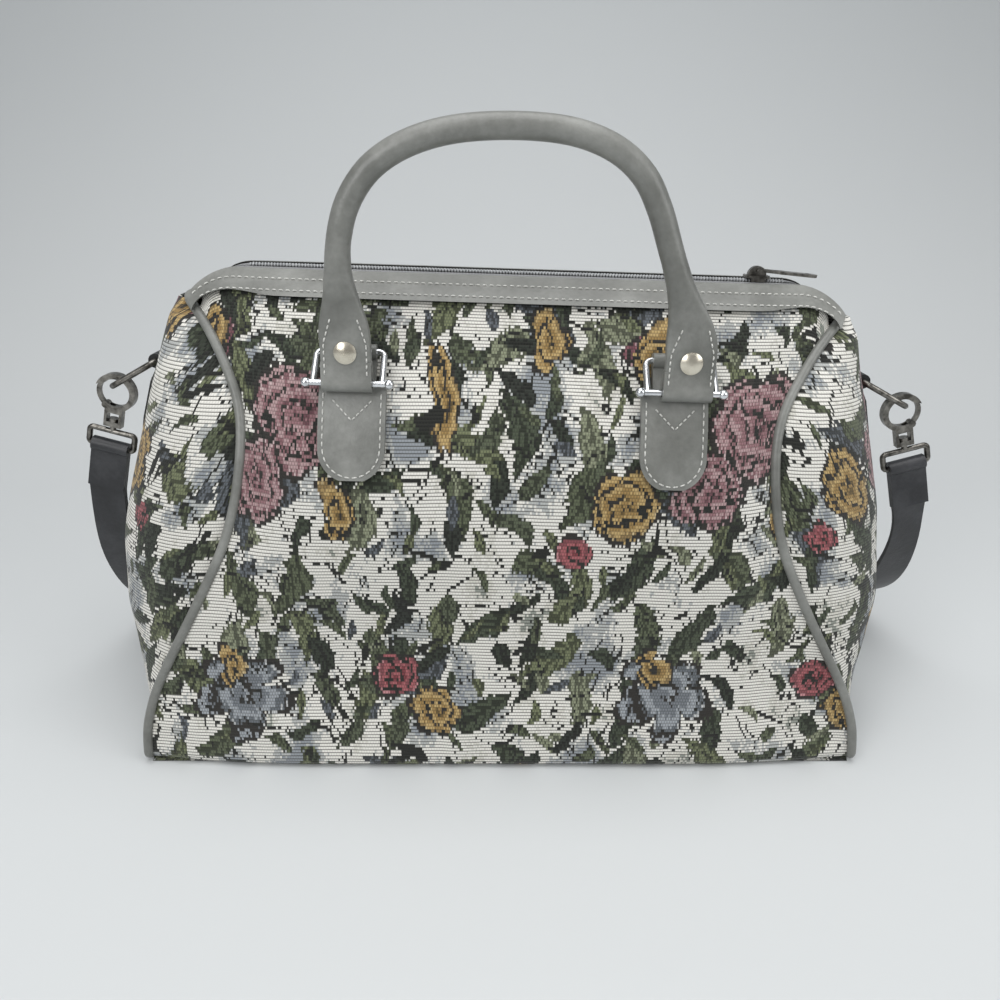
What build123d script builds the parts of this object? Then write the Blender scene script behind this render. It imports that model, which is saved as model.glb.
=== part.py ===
from build123d import *
from math import atan2, cos, degrees, hypot, radians, sin, sqrt, tan
import os

os.makedirs("parts", exist_ok=True)

# Carpet bag: a zipped tapestry bag with leather trim, two rolled handles and a clip-on shoulder strap.
# Millimetres. The floor is z = 0, the front faces -Y, and the origin is under the middle of the base.

# Cloth and leather
cloth = 2.4
piping_radius = 2.3
seam_clearance = 0.8
soft_clearance = 0.4
hinge_clearance = 0.05

# Body shape: one entry for each level, from the base to the top of the panels
levels = [3.0, 20.0, 40.0, 60.0, 90.0, 120.0, 150.0, 180.0, 205.0, 226.0, 237.0]
front_crown = [85.0, 84.0, 79.0, 76.5, 76.0, 75.5, 71.0, 61.0, 46.0, 30.0, 13.0]
seam_depth = [79.0, 77.0, 74.5, 73.0, 70.0, 66.0, 60.0, 50.0, 35.5, 20.0, 8.0]
seam_half_width = [182.0, 180.5, 174.0, 163.5, 147.0, 132.5, 125.5, 126.0, 139.5, 156.0, 158.0]
end_crown = [188.0, 194.0, 200.0, 204.0, 204.0, 198.0, 188.5, 179.0, 171.0, 164.0, 162.0]
panel_flat = 92.0
end_flat = 13.0
panel_top = 231.0
end_top = 215.0
end_bottom = 7.0
base_tuck = 3.0
sag_angle = 1.8
sag_height = 200.0
top_drift = 9.0
end_flat_share = 0.45
base_inset = 4.0
base_end_inset = 3.0
piping_steps = 24
piping_low = 12.0
piping_high = 217.0
piping_over = 223.0
piping_over_half_width = 17.0
bend_share = 0.45

# Top edge: trim strips, zip tapes, coil
tape_top = 236.2
ridge_flat = 134.0
ridge_end_run = 21.0
ridge_end_x = ridge_flat + ridge_end_run
ridge_end_drop = 11.5
ridge_end_lap = 2.0
cut_margin = 40.0
trim_width = 10.2
trim_leather = 3.0
trim_clearance = 0.8
trim_top = 237.0
trim_level_drops = [25.0, 18.0, 11.0, 5.0, -1.5]
trim_end_reach = 2.0
trim_corner_run = 22.0
trim_corner_half = 6.0
trim_corner_rise = 1.4
trim_corner_end_rise = 1.0
trim_end_slant = 2.5
trim_end_width = 8.5
tape_thick = 0.9
tape_half_width = 13.0
tape_end_width = 7.5
tape_narrowing = 15.0
tape_gap = 0.05
tape_cut_margin = 5.0
coil_width = 5.2
coil_height = 2.2
coil_top = 237.9
coil_half_length = 132.0
tooth_pitch = 4.0
tooth_gap = 1.0
tooth_depth = 0.8

# Zip slider and pull
slider_to_coil_end = 14.0
slider_x = coil_half_length - slider_to_coil_end
slider_length = 12.0
slider_corner = 2.5
slider_flange_inset = 2.5
slider_ear_inset = 1.5
slider_width = 9.0
slider_plate = 1.2
slider_clearance = 0.3
slider_ear_width = 2.6
slider_ear_height = 4.4
pull_bar_radius = 0.8
pull_length = 30.0
pull_width = 7.0
pull_thick = 1.4
pull_rest_angle = -4.0
pull_bar_drop = 2.0
pull_root = 4.0
pull_arm_length = 11.0
pull_arm_width = 1.2
pull_clearance = 0.15
pull_hole = 1.6
pull_hole_inset = 4.5
pull_slot_place = 10.5
pull_slot_length = 6.0
pull_slot_width = 2.4

# Handle fittings: left and right places along the bag
chape_places = (-73.4, 71.0)
ring_places = (-75.0, 73.0)
tab_places = (-75.0, 75.0)
chape_width = 30.0
chape_loop_width = 20.0
chape_bottom = 152.0
chape_shoulder = 192.0
chape_top = 204.0
chape_thick = 3.2
chape_leather = 1.9
chape_corner_ease = 0.5
ring_wire = 1.5
ring_inner_width = 27.4
ring_length = 17.0
ring_tilt = 47.0
ring_ball = 2.3
ring_ball_reach = 3.2

# Handles: the heights are measured from the ring, along the handle
handle_radius = 8.0
handle_rise = 101.6
handle_top_radius = 79.0
handle_slope = 31.0
handle_shoulder = 66.0
handle_shoulder_radius = 68.0
handle_neck = 40.0
tab_height = 20.0
tab_width = 22.0
tab_thick = 4.6
tab_flare = 8.5
tab_leather = 2.0
tab_edge = 0.1
rivet_height = 14.0
rivet_shank = 1.5
rivet_cap = 4.9
rivet_cap_edge = 0.5
rivet_cap_rise = 1.9
rivet_foot = 3.6
rivet_foot_thick = 0.8
rivet_clearance = 0.05
front_handle_swing = 0.0
back_handle_swing = 146.0

# End fittings
end_tab_top = 189.0
end_tab_bottom = 138.0
end_tab_thick = 3.0
end_tab_half_width = 12.0
end_tab_tip = 5.0
end_loop_width = 16.0
end_loop_leather = 2.2
dring_wire = 1.5
dring_inner_width = 21.0
dring_length = 29.0
dring_tilt = 62.0
dring_corner = 9.0
dring_near_corner = 3.5

# Snap hooks
hook_throat = 7.4
hook_wire = 2.9
hook_thick = 4.4
hook_rest_gap = 1.0
hook_neck_width = 9.0
hook_lean = 16.0
hook_web = 1.2
hook_window_width = 6.2
hook_window_height = 5.0
hook_collar = 2.8
gate_thick = 2.2
gate_slot = 2.6
gate_wire = 2.0
gate_pin = 0.7
gate_knuckle = 1.8
gate_tip_gap = 0.4
gate_clearance = 0.3
gate_start = -60.0
gate_end = 20.0
gate_swing_low = 45.0
gate_swing_high = 95.0
nose_low = 6.0
swivel_post = 1.5
swivel_head = 2.5
swivel_head_thick = 1.8
eye_wire = 1.5
eye_inner_width = 20.6
eye_corner = 2.0
eye_neck = 3.0
eye_drop = 9.0

# Shoulder strap
strap_width = 19.0
strap_thick = 3.0
strap_fold = 2.4
strap_lap = 24.0
strap_upright = 80.0

# Stiffener on the inside of the base
base_board_thick = 2.2
base_board_margin = 6.0
base_board_corner = 20.0


def between(height, values):
    """Value at a height, on a smooth curve through the levels."""
    if height <= levels[0]:
        return values[0]
    if height >= levels[-1]:
        return values[-1] + (height - levels[-1]) * (values[-1] - values[-2]) / (levels[-1] - levels[-2])
    count = len(levels)
    low = max(i for i in range(count - 1) if levels[i] <= height)

    def slope(i):
        before = max(i - 1, 0)
        after = min(i + 1, count - 1)
        return (values[after] - values[before]) / (levels[after] - levels[before])

    span = levels[low + 1] - levels[low]
    t = (height - levels[low]) / span
    start = values[low] * (1 + 2 * t) * (1 - t) ** 2 + slope(low) * span * t * (1 - t) ** 2
    end = values[low + 1] * (3 - 2 * t) * t**2 - slope(low + 1) * span * t**2 * (1 - t)
    return start + end


def level_plane(height):
    """Cross-section plane at a height. The bag leans and droops a little to its right."""
    roll = radians(sag_angle * min(height / sag_height, 1.0))
    drift = top_drift * (height / levels[-1]) ** 2
    return Plane(origin=(drift, 0, height), x_dir=(cos(roll), 0, -sin(roll)), z_dir=(sin(roll), 0, cos(roll)))


roll = radians(sag_angle)
top_frame = Plane(
    origin=(top_drift - levels[-1] * sin(roll), 0, 0),
    x_dir=(cos(roll), 0, -sin(roll)),
    z_dir=(sin(roll), 0, cos(roll)),
)


def upper_point(x, y, z):
    """Point in the drooping upper part of the bag."""
    return top_frame.from_local_coords(Vector(x, y, z))


def upper_side_plane(x):
    """Plane across the bag, in which sketches are drawn in (y, z)."""
    return Plane(origin=upper_point(x, 0, 0), x_dir=(0, 1, 0), z_dir=top_frame.x_dir)


def upper_face_plane(y):
    """Plane along the bag, in which sketches are drawn in (x, z)."""
    return Plane(origin=upper_point(0, y, 0), x_dir=top_frame.x_dir, z_dir=(0, -1, 0))


def strip_outline(flat, crown, seam_along, seam_out, wall, gap, place):
    """Cut through one wall: flat in the middle and curving back to a seam at each end."""
    turn = 2 * atan2(crown - seam_out, seam_along - flat)
    end_along = seam_along - gap * cos(turn)
    end_out = seam_out + gap * sin(turn)
    turn = 2 * atan2(crown - end_out, end_along - flat)
    inner_along = end_along - wall * sin(turn)
    inner_out = end_out - wall * cos(turn)
    Line(place(-flat, crown), place(flat, crown))
    Line(place(-flat, crown - wall), place(flat, crown - wall))
    for s in (-1, 1):
        away = Vector(*place(s * 2, 0)) - Vector(*place(s, 0))
        TangentArc(place(s * flat, crown), place(s * end_along, end_out), tangent=away)
        TangentArc(place(s * flat, crown - wall), place(s * inner_along, inner_out), tangent=away)
        Line(place(s * end_along, end_out), place(s * inner_along, inner_out))


def front_place(along, out):
    return (along, -out)


def back_place(along, out):
    return (along, out)


def right_place(along, out):
    return (out, along)


def left_place(along, out):
    return (-out, along)


panel_gap = piping_radius + seam_clearance
wall_levels = [20.0, 40.0, 60.0, 90.0, 120.0, 150.0, 165.0, 180.0, 192.0, 205.0]
panel_levels = [0.0, 3.0, 9.0, *wall_levels, 216.0, 226.0, panel_top]
end_levels = [end_bottom, *wall_levels, end_top]

with BuildPart() as body_panel:
    for place in (front_place, back_place):
        for height in panel_levels:
            tuck = base_tuck if height == 0.0 else 0.0
            with BuildSketch(level_plane(height)):
                with BuildLine():
                    strip_outline(
                        panel_flat,
                        between(height, front_crown) - tuck,
                        between(height, seam_half_width),
                        between(height, seam_depth) - tuck,
                        cloth,
                        panel_gap,
                        place,
                    )
                make_face()
        loft()
    with BuildSketch():
        with BuildLine():
            half_length = seam_half_width[0] - panel_gap
            half_depth = seam_depth[0] - base_end_inset - cloth / 2
            side = end_crown[0] - 2 * panel_gap
            middle_depth = front_crown[0] - base_inset
            Line((-panel_flat, -middle_depth), (panel_flat, -middle_depth))
            Line((panel_flat, -middle_depth), (half_length, -half_depth))
            ThreePointArc((half_length, -half_depth), (side, 0), (half_length, half_depth))
            Line((half_length, half_depth), (panel_flat, middle_depth))
            Line((panel_flat, middle_depth), (-panel_flat, middle_depth))
            Line((-panel_flat, middle_depth), (-half_length, half_depth))
            ThreePointArc((-half_length, half_depth), (-side, 0), (-half_length, -half_depth))
            Line((-half_length, -half_depth), (-panel_flat, -middle_depth))
        make_face()
    extrude(amount=cloth)
    with BuildSketch(upper_face_plane(0)):
        with BuildLine():
            corner = (ridge_flat, panel_top)
            low = (ridge_end_x - ridge_end_lap, panel_top - ridge_end_drop)
            outside = ridge_end_x + cut_margin
            above = panel_top + cut_margin
            Line((-corner[0], corner[1]), corner)
            TangentArc(corner, low, tangent=(1, 0))
            TangentArc((-corner[0], corner[1]), (-low[0], low[1]), tangent=(-1, 0))
            Polyline(
                low,
                (outside, low[1]),
                (outside, above),
                (-outside, above),
                (-outside, low[1]),
                (-low[0], low[1]),
            )
        make_face()
    extrude(amount=front_crown[0], both=True, mode=Mode.SUBTRACT)
body_panel.part.label = "body_panel"
export_step(body_panel.part, "parts/body_panel.step")

for name, place in (("left_gusset", left_place), ("right_gusset", right_place)):
    with BuildPart() as gusset:
        for height in end_levels:
            with BuildSketch(level_plane(height)):
                with BuildLine():
                    strip_outline(
                        min(end_flat, end_flat_share * between(height, seam_depth)),
                        between(height, end_crown),
                        between(height, seam_depth),
                        between(height, seam_half_width),
                        cloth,
                        panel_gap,
                        place,
                    )
                make_face()
        loft()
    gusset.part.label = name
    export_step(gusset.part, f"parts/{name}.step")


def seam_point(side, face, height):
    """Point on the seam line: side is -1 left or 1 right, face is -1 front or 1 back."""
    x = side * between(height, seam_half_width)
    y = face * between(height, seam_depth)
    return level_plane(height).from_local_coords(Vector(x, y, 0))


def easy_bends(points):
    """Radii of the largest arcs that the runs of a closed route leave room for."""
    radii = []
    for i, point in enumerate(points):
        before = point - points[i - 1]
        after = points[(i + 1) % len(points)] - point
        turn = radians(before.get_angle(after))
        radii.append(bend_share * min(before.length, after.length) / tan(turn / 2))
    return radii


for name, side in (("left_piping", -1), ("right_piping", 1)):
    rise = (piping_high - piping_low) / piping_steps
    seam_heights = [piping_low + rise * i for i in range(piping_steps + 1)]
    front_run = [seam_point(side, -1, height) for height in seam_heights]
    back_run = [seam_point(side, 1, height) for height in reversed(seam_heights)]
    top_x = side * (ridge_end_x + panel_gap)
    over = [
        level_plane(piping_over).from_local_coords(Vector(top_x, y, 0))
        for y in (-piping_over_half_width, piping_over_half_width)
    ]
    foot_height = piping_radius + seam_clearance
    foot = [
        Vector(side * seam_half_width[0], seam_depth[0], foot_height),
        Vector(side * end_crown[0], 0, foot_height),
        Vector(side * seam_half_width[0], -seam_depth[0], foot_height),
    ]
    route = [*front_run, *over, *back_run, *foot]
    with BuildPart() as piping:
        with BuildLine() as path:
            FilletPolyline(*route, radius=easy_bends(route), close=True)
        seam_line = path.wires()[0]
        with BuildSketch(Plane(origin=seam_line @ 0.1, z_dir=seam_line % 0.1)):
            Circle(piping_radius)
        sweep(path=seam_line)
    piping.part.label = name
    export_step(piping.part, f"parts/{name}.step")

for name, face, place in (("front_trim", -1, front_place), ("back_trim", 1, back_place)):
    with BuildPart() as trim:
        for drop in trim_level_drops:
            height = trim_top - drop
            reach = trim_clearance + trim_leather
            with BuildSketch(level_plane(height)):
                with BuildLine():
                    strip_outline(
                        panel_flat,
                        between(height, front_crown) + reach,
                        between(height, seam_half_width) + trim_end_reach,
                        between(height, seam_depth) + reach,
                        trim_leather,
                        0.0,
                        place,
                    )
                make_face()
        loft()
        with BuildSketch(upper_face_plane(0)):
            with BuildLine():
                low = trim_top - trim_width
                end_top_point = (ridge_end_x, trim_top - ridge_end_drop)
                end_low_point = (ridge_end_x - trim_end_slant, low - trim_end_width)
                corner_start = ridge_flat - trim_corner_run
                Line((-ridge_flat, trim_top), (ridge_flat, trim_top))
                Line((-corner_start, low), (corner_start, low))
                for s in (-1, 1):
                    TangentArc((s * ridge_flat, trim_top), (s * end_top_point[0], end_top_point[1]), tangent=(s, 0))
                    Line((s * end_top_point[0], end_top_point[1]), (s * end_low_point[0], end_low_point[1]))
                    Spline(
                        (s * corner_start, low),
                        (s * (ridge_flat - trim_corner_half), low + trim_corner_rise),
                        (s * (ridge_flat + trim_corner_half), low + trim_corner_end_rise),
                        (s * end_low_point[0], end_low_point[1]),
                        tangents=((s, 0), (s * 0.2, -1)),
                    )
            make_face()
        extrude(amount=-face * front_crown[0], mode=Mode.INTERSECT)
    trim.part.label = name
    export_step(trim.part, f"parts/{name}.step")

for name, face in (("front_zip_tape", -1), ("back_zip_tape", 1)):
    with BuildPart() as tape:
        with BuildSketch(upper_face_plane(0)):
            with BuildLine():
                for top in (tape_top, tape_top - tape_thick):
                    Line((-ridge_flat, top), (ridge_flat, top))
                    TangentArc((ridge_flat, top), (ridge_end_x, top - ridge_end_drop), tangent=(1, 0))
                    TangentArc((-ridge_flat, top), (-ridge_end_x, top - ridge_end_drop), tangent=(-1, 0))
                for s in (-1, 1):
                    end = (s * ridge_end_x, tape_top - ridge_end_drop)
                    Line(end, (end[0], end[1] - tape_thick))
            make_face()
        extrude(amount=face * -tape_half_width)
        with BuildSketch(top_frame.offset(tape_top - ridge_end_drop - tape_cut_margin)):
            with BuildLine():
                edge = face * (coil_width / 2 + tape_gap)
                wide = face * tape_half_width
                narrow = face * tape_end_width
                Polyline(
                    (-ridge_end_x, edge),
                    (ridge_end_x, edge),
                    (ridge_end_x, narrow),
                    (ridge_flat - tape_narrowing, wide),
                    (-ridge_flat + tape_narrowing, wide),
                    (-ridge_end_x, narrow),
                    close=True,
                )
            make_face()
        extrude(amount=ridge_end_drop + 2 * tape_cut_margin, mode=Mode.INTERSECT)
    tape.part.label = name
    export_step(tape.part, f"parts/{name}.step")

tooth_count = int(2 * coil_half_length / tooth_pitch)
with BuildPart() as zip_coil:
    with BuildSketch(top_frame.offset(coil_top - coil_height)):
        Rectangle(2 * coil_half_length, coil_width - 2 * tooth_depth)
        with GridLocations(tooth_pitch, 0, tooth_count, 1):
            Rectangle(tooth_pitch - tooth_gap, coil_width)
    extrude(amount=coil_height)
zip_coil.part.label = "zip_coil"
export_step(zip_coil.part, "parts/zip_coil.step")

slider_base = coil_top + slider_clearance
slider_top = slider_base + slider_plate
pull_height = slider_top + slider_ear_height - pull_bar_drop
with BuildPart() as zip_slider:
    with BuildSketch(top_frame.offset(slider_base)):
        with Locations((slider_x, 0)):
            RectangleRounded(slider_length, slider_width, slider_corner)
    extrude(amount=slider_plate)
    with BuildSketch(top_frame.offset(tape_top + slider_clearance)):
        flange = (slider_width - coil_width) / 2 - slider_clearance
        for s in (-1, 1):
            with Locations((slider_x, s * (slider_width - flange) / 2)):
                Rectangle(slider_length - 2 * slider_flange_inset, flange)
    extrude(amount=slider_base - tape_top - slider_clearance)
    with BuildSketch(upper_face_plane(0)):
        with Locations((slider_x, slider_top)):
            Ellipse(slider_length / 2 - slider_ear_inset, slider_ear_height)
        with Locations((slider_x, slider_top - slider_ear_height)):
            Rectangle(slider_length, 2 * slider_ear_height - slider_plate, mode=Mode.SUBTRACT)
    extrude(amount=slider_ear_width / 2, both=True)
    with BuildSketch(upper_face_plane(0)):
        with Locations((slider_x, pull_height)):
            Circle(pull_bar_radius + hinge_clearance)
    extrude(amount=slider_width, both=True, mode=Mode.SUBTRACT)
zip_slider.part.label = "zip_slider"
export_step(zip_slider.part, "parts/zip_slider.step")

rest = radians(pull_rest_angle)
pull_x = top_frame.x_dir * cos(rest) + top_frame.z_dir * sin(rest)
pull_normal = top_frame.z_dir * cos(rest) - top_frame.x_dir * sin(rest)
pull_plane = Plane(origin=upper_point(slider_x, 0, pull_height), x_dir=pull_x, z_dir=pull_normal)
arm_inner = slider_ear_width / 2 + pull_clearance
with BuildPart() as zip_pull:
    with BuildSketch(pull_plane):
        with Locations((pull_length / 2 + pull_root, 0)):
            SlotOverall(pull_length - 2 * pull_root, pull_width)
        for s in (-1, 1):
            with Locations((pull_arm_length / 2, s * (arm_inner + pull_arm_width / 2))):
                Rectangle(pull_arm_length, pull_arm_width)
        with Locations((pull_length - pull_hole_inset, 0)):
            Circle(pull_hole, mode=Mode.SUBTRACT)
        with Locations((pull_slot_place, 0)):
            SlotOverall(pull_slot_length, pull_slot_width, mode=Mode.SUBTRACT)
    extrude(amount=pull_thick / 2, both=True)
    with BuildSketch(upper_face_plane(-arm_inner - pull_arm_width)):
        with Locations((slider_x, pull_height)):
            Circle(pull_bar_radius)
    extrude(amount=-2 * (arm_inner + pull_arm_width))
zip_pull.part.label = "zip_pull"
export_step(zip_pull.part, "parts/zip_pull.step")

with BuildPart() as base_board:
    with BuildSketch(Plane.XY.offset(cloth)):
        RectangleRounded(
            2 * (seam_half_width[0] - cloth - base_board_margin),
            2 * (front_crown[0] - cloth - base_board_margin),
            base_board_corner,
        )
    extrude(amount=base_board_thick)
base_board.part.label = "base_board"
export_step(base_board.part, "parts/base_board.step")


def face_point(height, lift):
    """Point (out, height) on the front or back face, lifted off the cloth along its normal."""
    slope = (between(height + 1, front_crown) - between(height - 1, front_crown)) / 2
    normal = 1 / hypot(1, slope)
    return between(height, front_crown) + lift * normal, height - lift * slope * normal


chape_roll = ring_wire + hinge_clearance + chape_leather
bar_out, bar_height = face_point(chape_top, soft_clearance + chape_roll)
tilt = radians(ring_tilt)
low_out = bar_out + ring_length * sin(tilt)
low_height = bar_height - ring_length * cos(tilt)
chape_levels = [chape_bottom + (chape_top - chape_bottom) * i / 5 for i in range(6)]

for face, face_name in ((-1, "front"), (1, "back")):
    for place, side_name in zip(chape_places, ("left", "right")):
        with BuildPart() as chape:
            with BuildSketch(upper_side_plane(place)):
                with BuildLine():
                    inner = [face_point(height, soft_clearance) for height in chape_levels]
                    outer = [face_point(height, soft_clearance + chape_thick) for height in chape_levels]
                    Spline([(face * out, up) for out, up in inner])
                    Spline([(face * out, up) for out, up in outer])
                    for end in (0, -1):
                        Line((face * inner[end][0], inner[end][1]), (face * outer[end][0], outer[end][1]))
                make_face()
                with Locations((face * bar_out, bar_height)):
                    Circle(chape_roll)
                    Circle(ring_wire + hinge_clearance, mode=Mode.SUBTRACT)
            extrude(amount=chape_width / 2, both=True)
            with BuildSketch(upper_face_plane(0)):
                with Locations((place, (chape_shoulder + chape_bottom) / 2)):
                    RectangleRounded(
                        chape_width, chape_shoulder - chape_bottom, chape_width / 2 - chape_corner_ease
                    )
                with Locations((place, (chape_shoulder + chape_bottom + chape_width / 2) / 2)):
                    Rectangle(chape_width, chape_shoulder - chape_bottom - chape_width / 2)
                with Locations((place, chape_top)):
                    Rectangle(chape_loop_width, 2 * (chape_top - chape_shoulder) + 4 * chape_roll)
            extrude(amount=-face * 2 * front_crown[0], mode=Mode.INTERSECT)
        chape.part.label = f"{face_name}_{side_name}_chape"
        export_step(chape.part, f"parts/{face_name}_{side_name}_chape.step")

    for place, side_name in zip(ring_places, ("left", "right")):
        down = top_frame.z_dir * -cos(tilt) + Vector(0, face * sin(tilt), 0)
        bar = upper_point(place, face * bar_out, bar_height)
        ring_plane = Plane(origin=bar, x_dir=top_frame.x_dir, z_dir=top_frame.x_dir.cross(down))
        half_width = ring_inner_width / 2 + ring_wire
        corner = 2 * ring_wire
        reach = half_width + ring_ball_reach
        with BuildPart() as ring:
            with BuildLine(ring_plane) as loop:
                FilletPolyline(
                    (-half_width, ring_length),
                    (-half_width, 0),
                    (half_width, 0),
                    (half_width, ring_length),
                    radius=corner,
                )
            wire_line = loop.wires()[0]
            with BuildSketch(Plane(origin=wire_line @ 0, z_dir=wire_line % 0)):
                Circle(ring_wire)
            sweep(path=wire_line)
            low_bar = bar + down * ring_length
            bar_plane = Plane(origin=low_bar, x_dir=top_frame.x_dir, z_dir=ring_plane.z_dir)
            neck = reach - sqrt(ring_ball**2 - ring_wire**2)
            with BuildSketch(bar_plane):
                with BuildLine():
                    Line((-neck, ring_wire), (neck, ring_wire))
                    Line((-reach - ring_ball, 0), (reach + ring_ball, 0))
                    for s in (-1, 1):
                        ThreePointArc((s * neck, ring_wire), (s * reach, ring_ball), (s * (reach + ring_ball), 0))
                make_face()
            revolve(axis=Axis(low_bar, top_frame.x_dir))
        ring.part.label = f"{face_name}_{side_name}_ring"
        export_step(ring.part, f"parts/{face_name}_{side_name}_ring.step")

for face, face_name, swing in ((-1, "front", front_handle_swing), (1, "back", back_handle_swing)):
    swing = radians(swing)
    up = top_frame.z_dir * cos(swing) + Vector(0, face * sin(swing), 0)
    outward = Vector(0, face * cos(swing), 0) - top_frame.z_dir * sin(swing)
    handle_origin = upper_point(0, face * low_out, low_height)
    handle_plane = Plane(origin=handle_origin, x_dir=top_frame.x_dir, z_dir=top_frame.x_dir.cross(up))
    fold = ring_wire + hinge_clearance + tab_leather
    with BuildPart() as handle:
        with BuildLine(handle_plane) as run:
            slope = radians(handle_slope)
            peak = handle_rise + handle_top_radius * (1 / cos(slope) - 1)
            shoulder_rise = peak - handle_shoulder * tan(slope)
            FilletPolyline(
                (tab_places[0], handle_neck),
                (-handle_shoulder, shoulder_rise),
                (0, peak),
                (handle_shoulder, shoulder_rise),
                (tab_places[1], handle_neck),
                radius=[handle_shoulder_radius, handle_top_radius, handle_shoulder_radius],
            )
        route = run.wires()[0]
        with BuildSketch(Plane(origin=route @ 0, z_dir=route % 0)):
            Circle(handle_radius)
        sweep(path=route)
        for place in tab_places:
            foot = handle_origin + top_frame.x_dir * place
            ends = [(route @ 0, route % 0), (route @ 1, (route % 1) * -1)]
            neck, along = min(ends, key=lambda pair: (pair[0] - foot).length)
            neck_x = handle_plane.z_dir.cross(along)
            with BuildSketch(Plane(origin=neck, x_dir=neck_x, z_dir=along)):
                Circle(handle_radius)
            with BuildSketch(Plane(origin=foot + up * tab_height, x_dir=top_frame.x_dir, z_dir=up)):
                RectangleRounded(tab_width, tab_thick, tab_thick / 2 - tab_edge)
            loft()
            with BuildSketch(Plane(origin=foot, x_dir=outward, z_dir=outward.cross(up))):
                with Locations((0, (tab_height + tab_flare) / 2)):
                    Rectangle(tab_thick, tab_height - tab_flare)
                with BuildLine():
                    Polyline(
                        (-tab_thick / 2, tab_flare),
                        (tab_thick / 2, tab_flare),
                        (fold, 0),
                        (-fold, 0),
                        close=True,
                    )
                make_face()
                Circle(fold)
                Circle(ring_wire + hinge_clearance, mode=Mode.SUBTRACT)
            extrude(amount=tab_width / 2, both=True)
            with BuildSketch(Plane(origin=foot + up * rivet_height, z_dir=outward)):
                Circle(rivet_shank + rivet_clearance)
            extrude(amount=tab_thick, both=True, mode=Mode.SUBTRACT)
    handle.part.label = f"{face_name}_handle"
    export_step(handle.part, f"parts/{face_name}_handle.step")

    for place, side_name in zip(tab_places, ("left", "right")):
        centre = handle_origin + top_frame.x_dir * place + up * rivet_height
        seat = tab_thick / 2 + rivet_clearance
        with BuildPart() as rivet:
            side_x = top_frame.x_dir
            with BuildSketch(Plane(origin=centre, x_dir=side_x, z_dir=side_x.cross(outward))):
                with BuildLine():
                    Polyline(
                        (0, seat + rivet_cap_rise),
                        (0, -seat - rivet_foot_thick),
                        (rivet_foot, -seat - rivet_foot_thick),
                        (rivet_foot, -seat),
                        (rivet_shank, -seat),
                        (rivet_shank, seat),
                        (rivet_cap, seat),
                        (rivet_cap, seat + rivet_cap_edge),
                    )
                    TangentArc(
                        (0, seat + rivet_cap_rise), (rivet_cap, seat + rivet_cap_edge), tangent=(1, 0)
                    )
                make_face()
            revolve(axis=Axis(centre, outward))
        rivet.part.label = f"{face_name}_{side_name}_rivet"
        export_step(rivet.part, f"parts/{face_name}_{side_name}_rivet.step")


def end_point(side, height, lift):
    """Point on the middle line of an end panel, lifted off the cloth."""
    return level_plane(height).from_local_coords(Vector(side * (between(height, end_crown) + lift), 0, 0))


def turned(side, angle, radius):
    """Offset in the (x, z) plane, with the angle measured from the outward side."""
    return (side * radius * cos(radians(angle)), radius * sin(radians(angle)))


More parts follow.
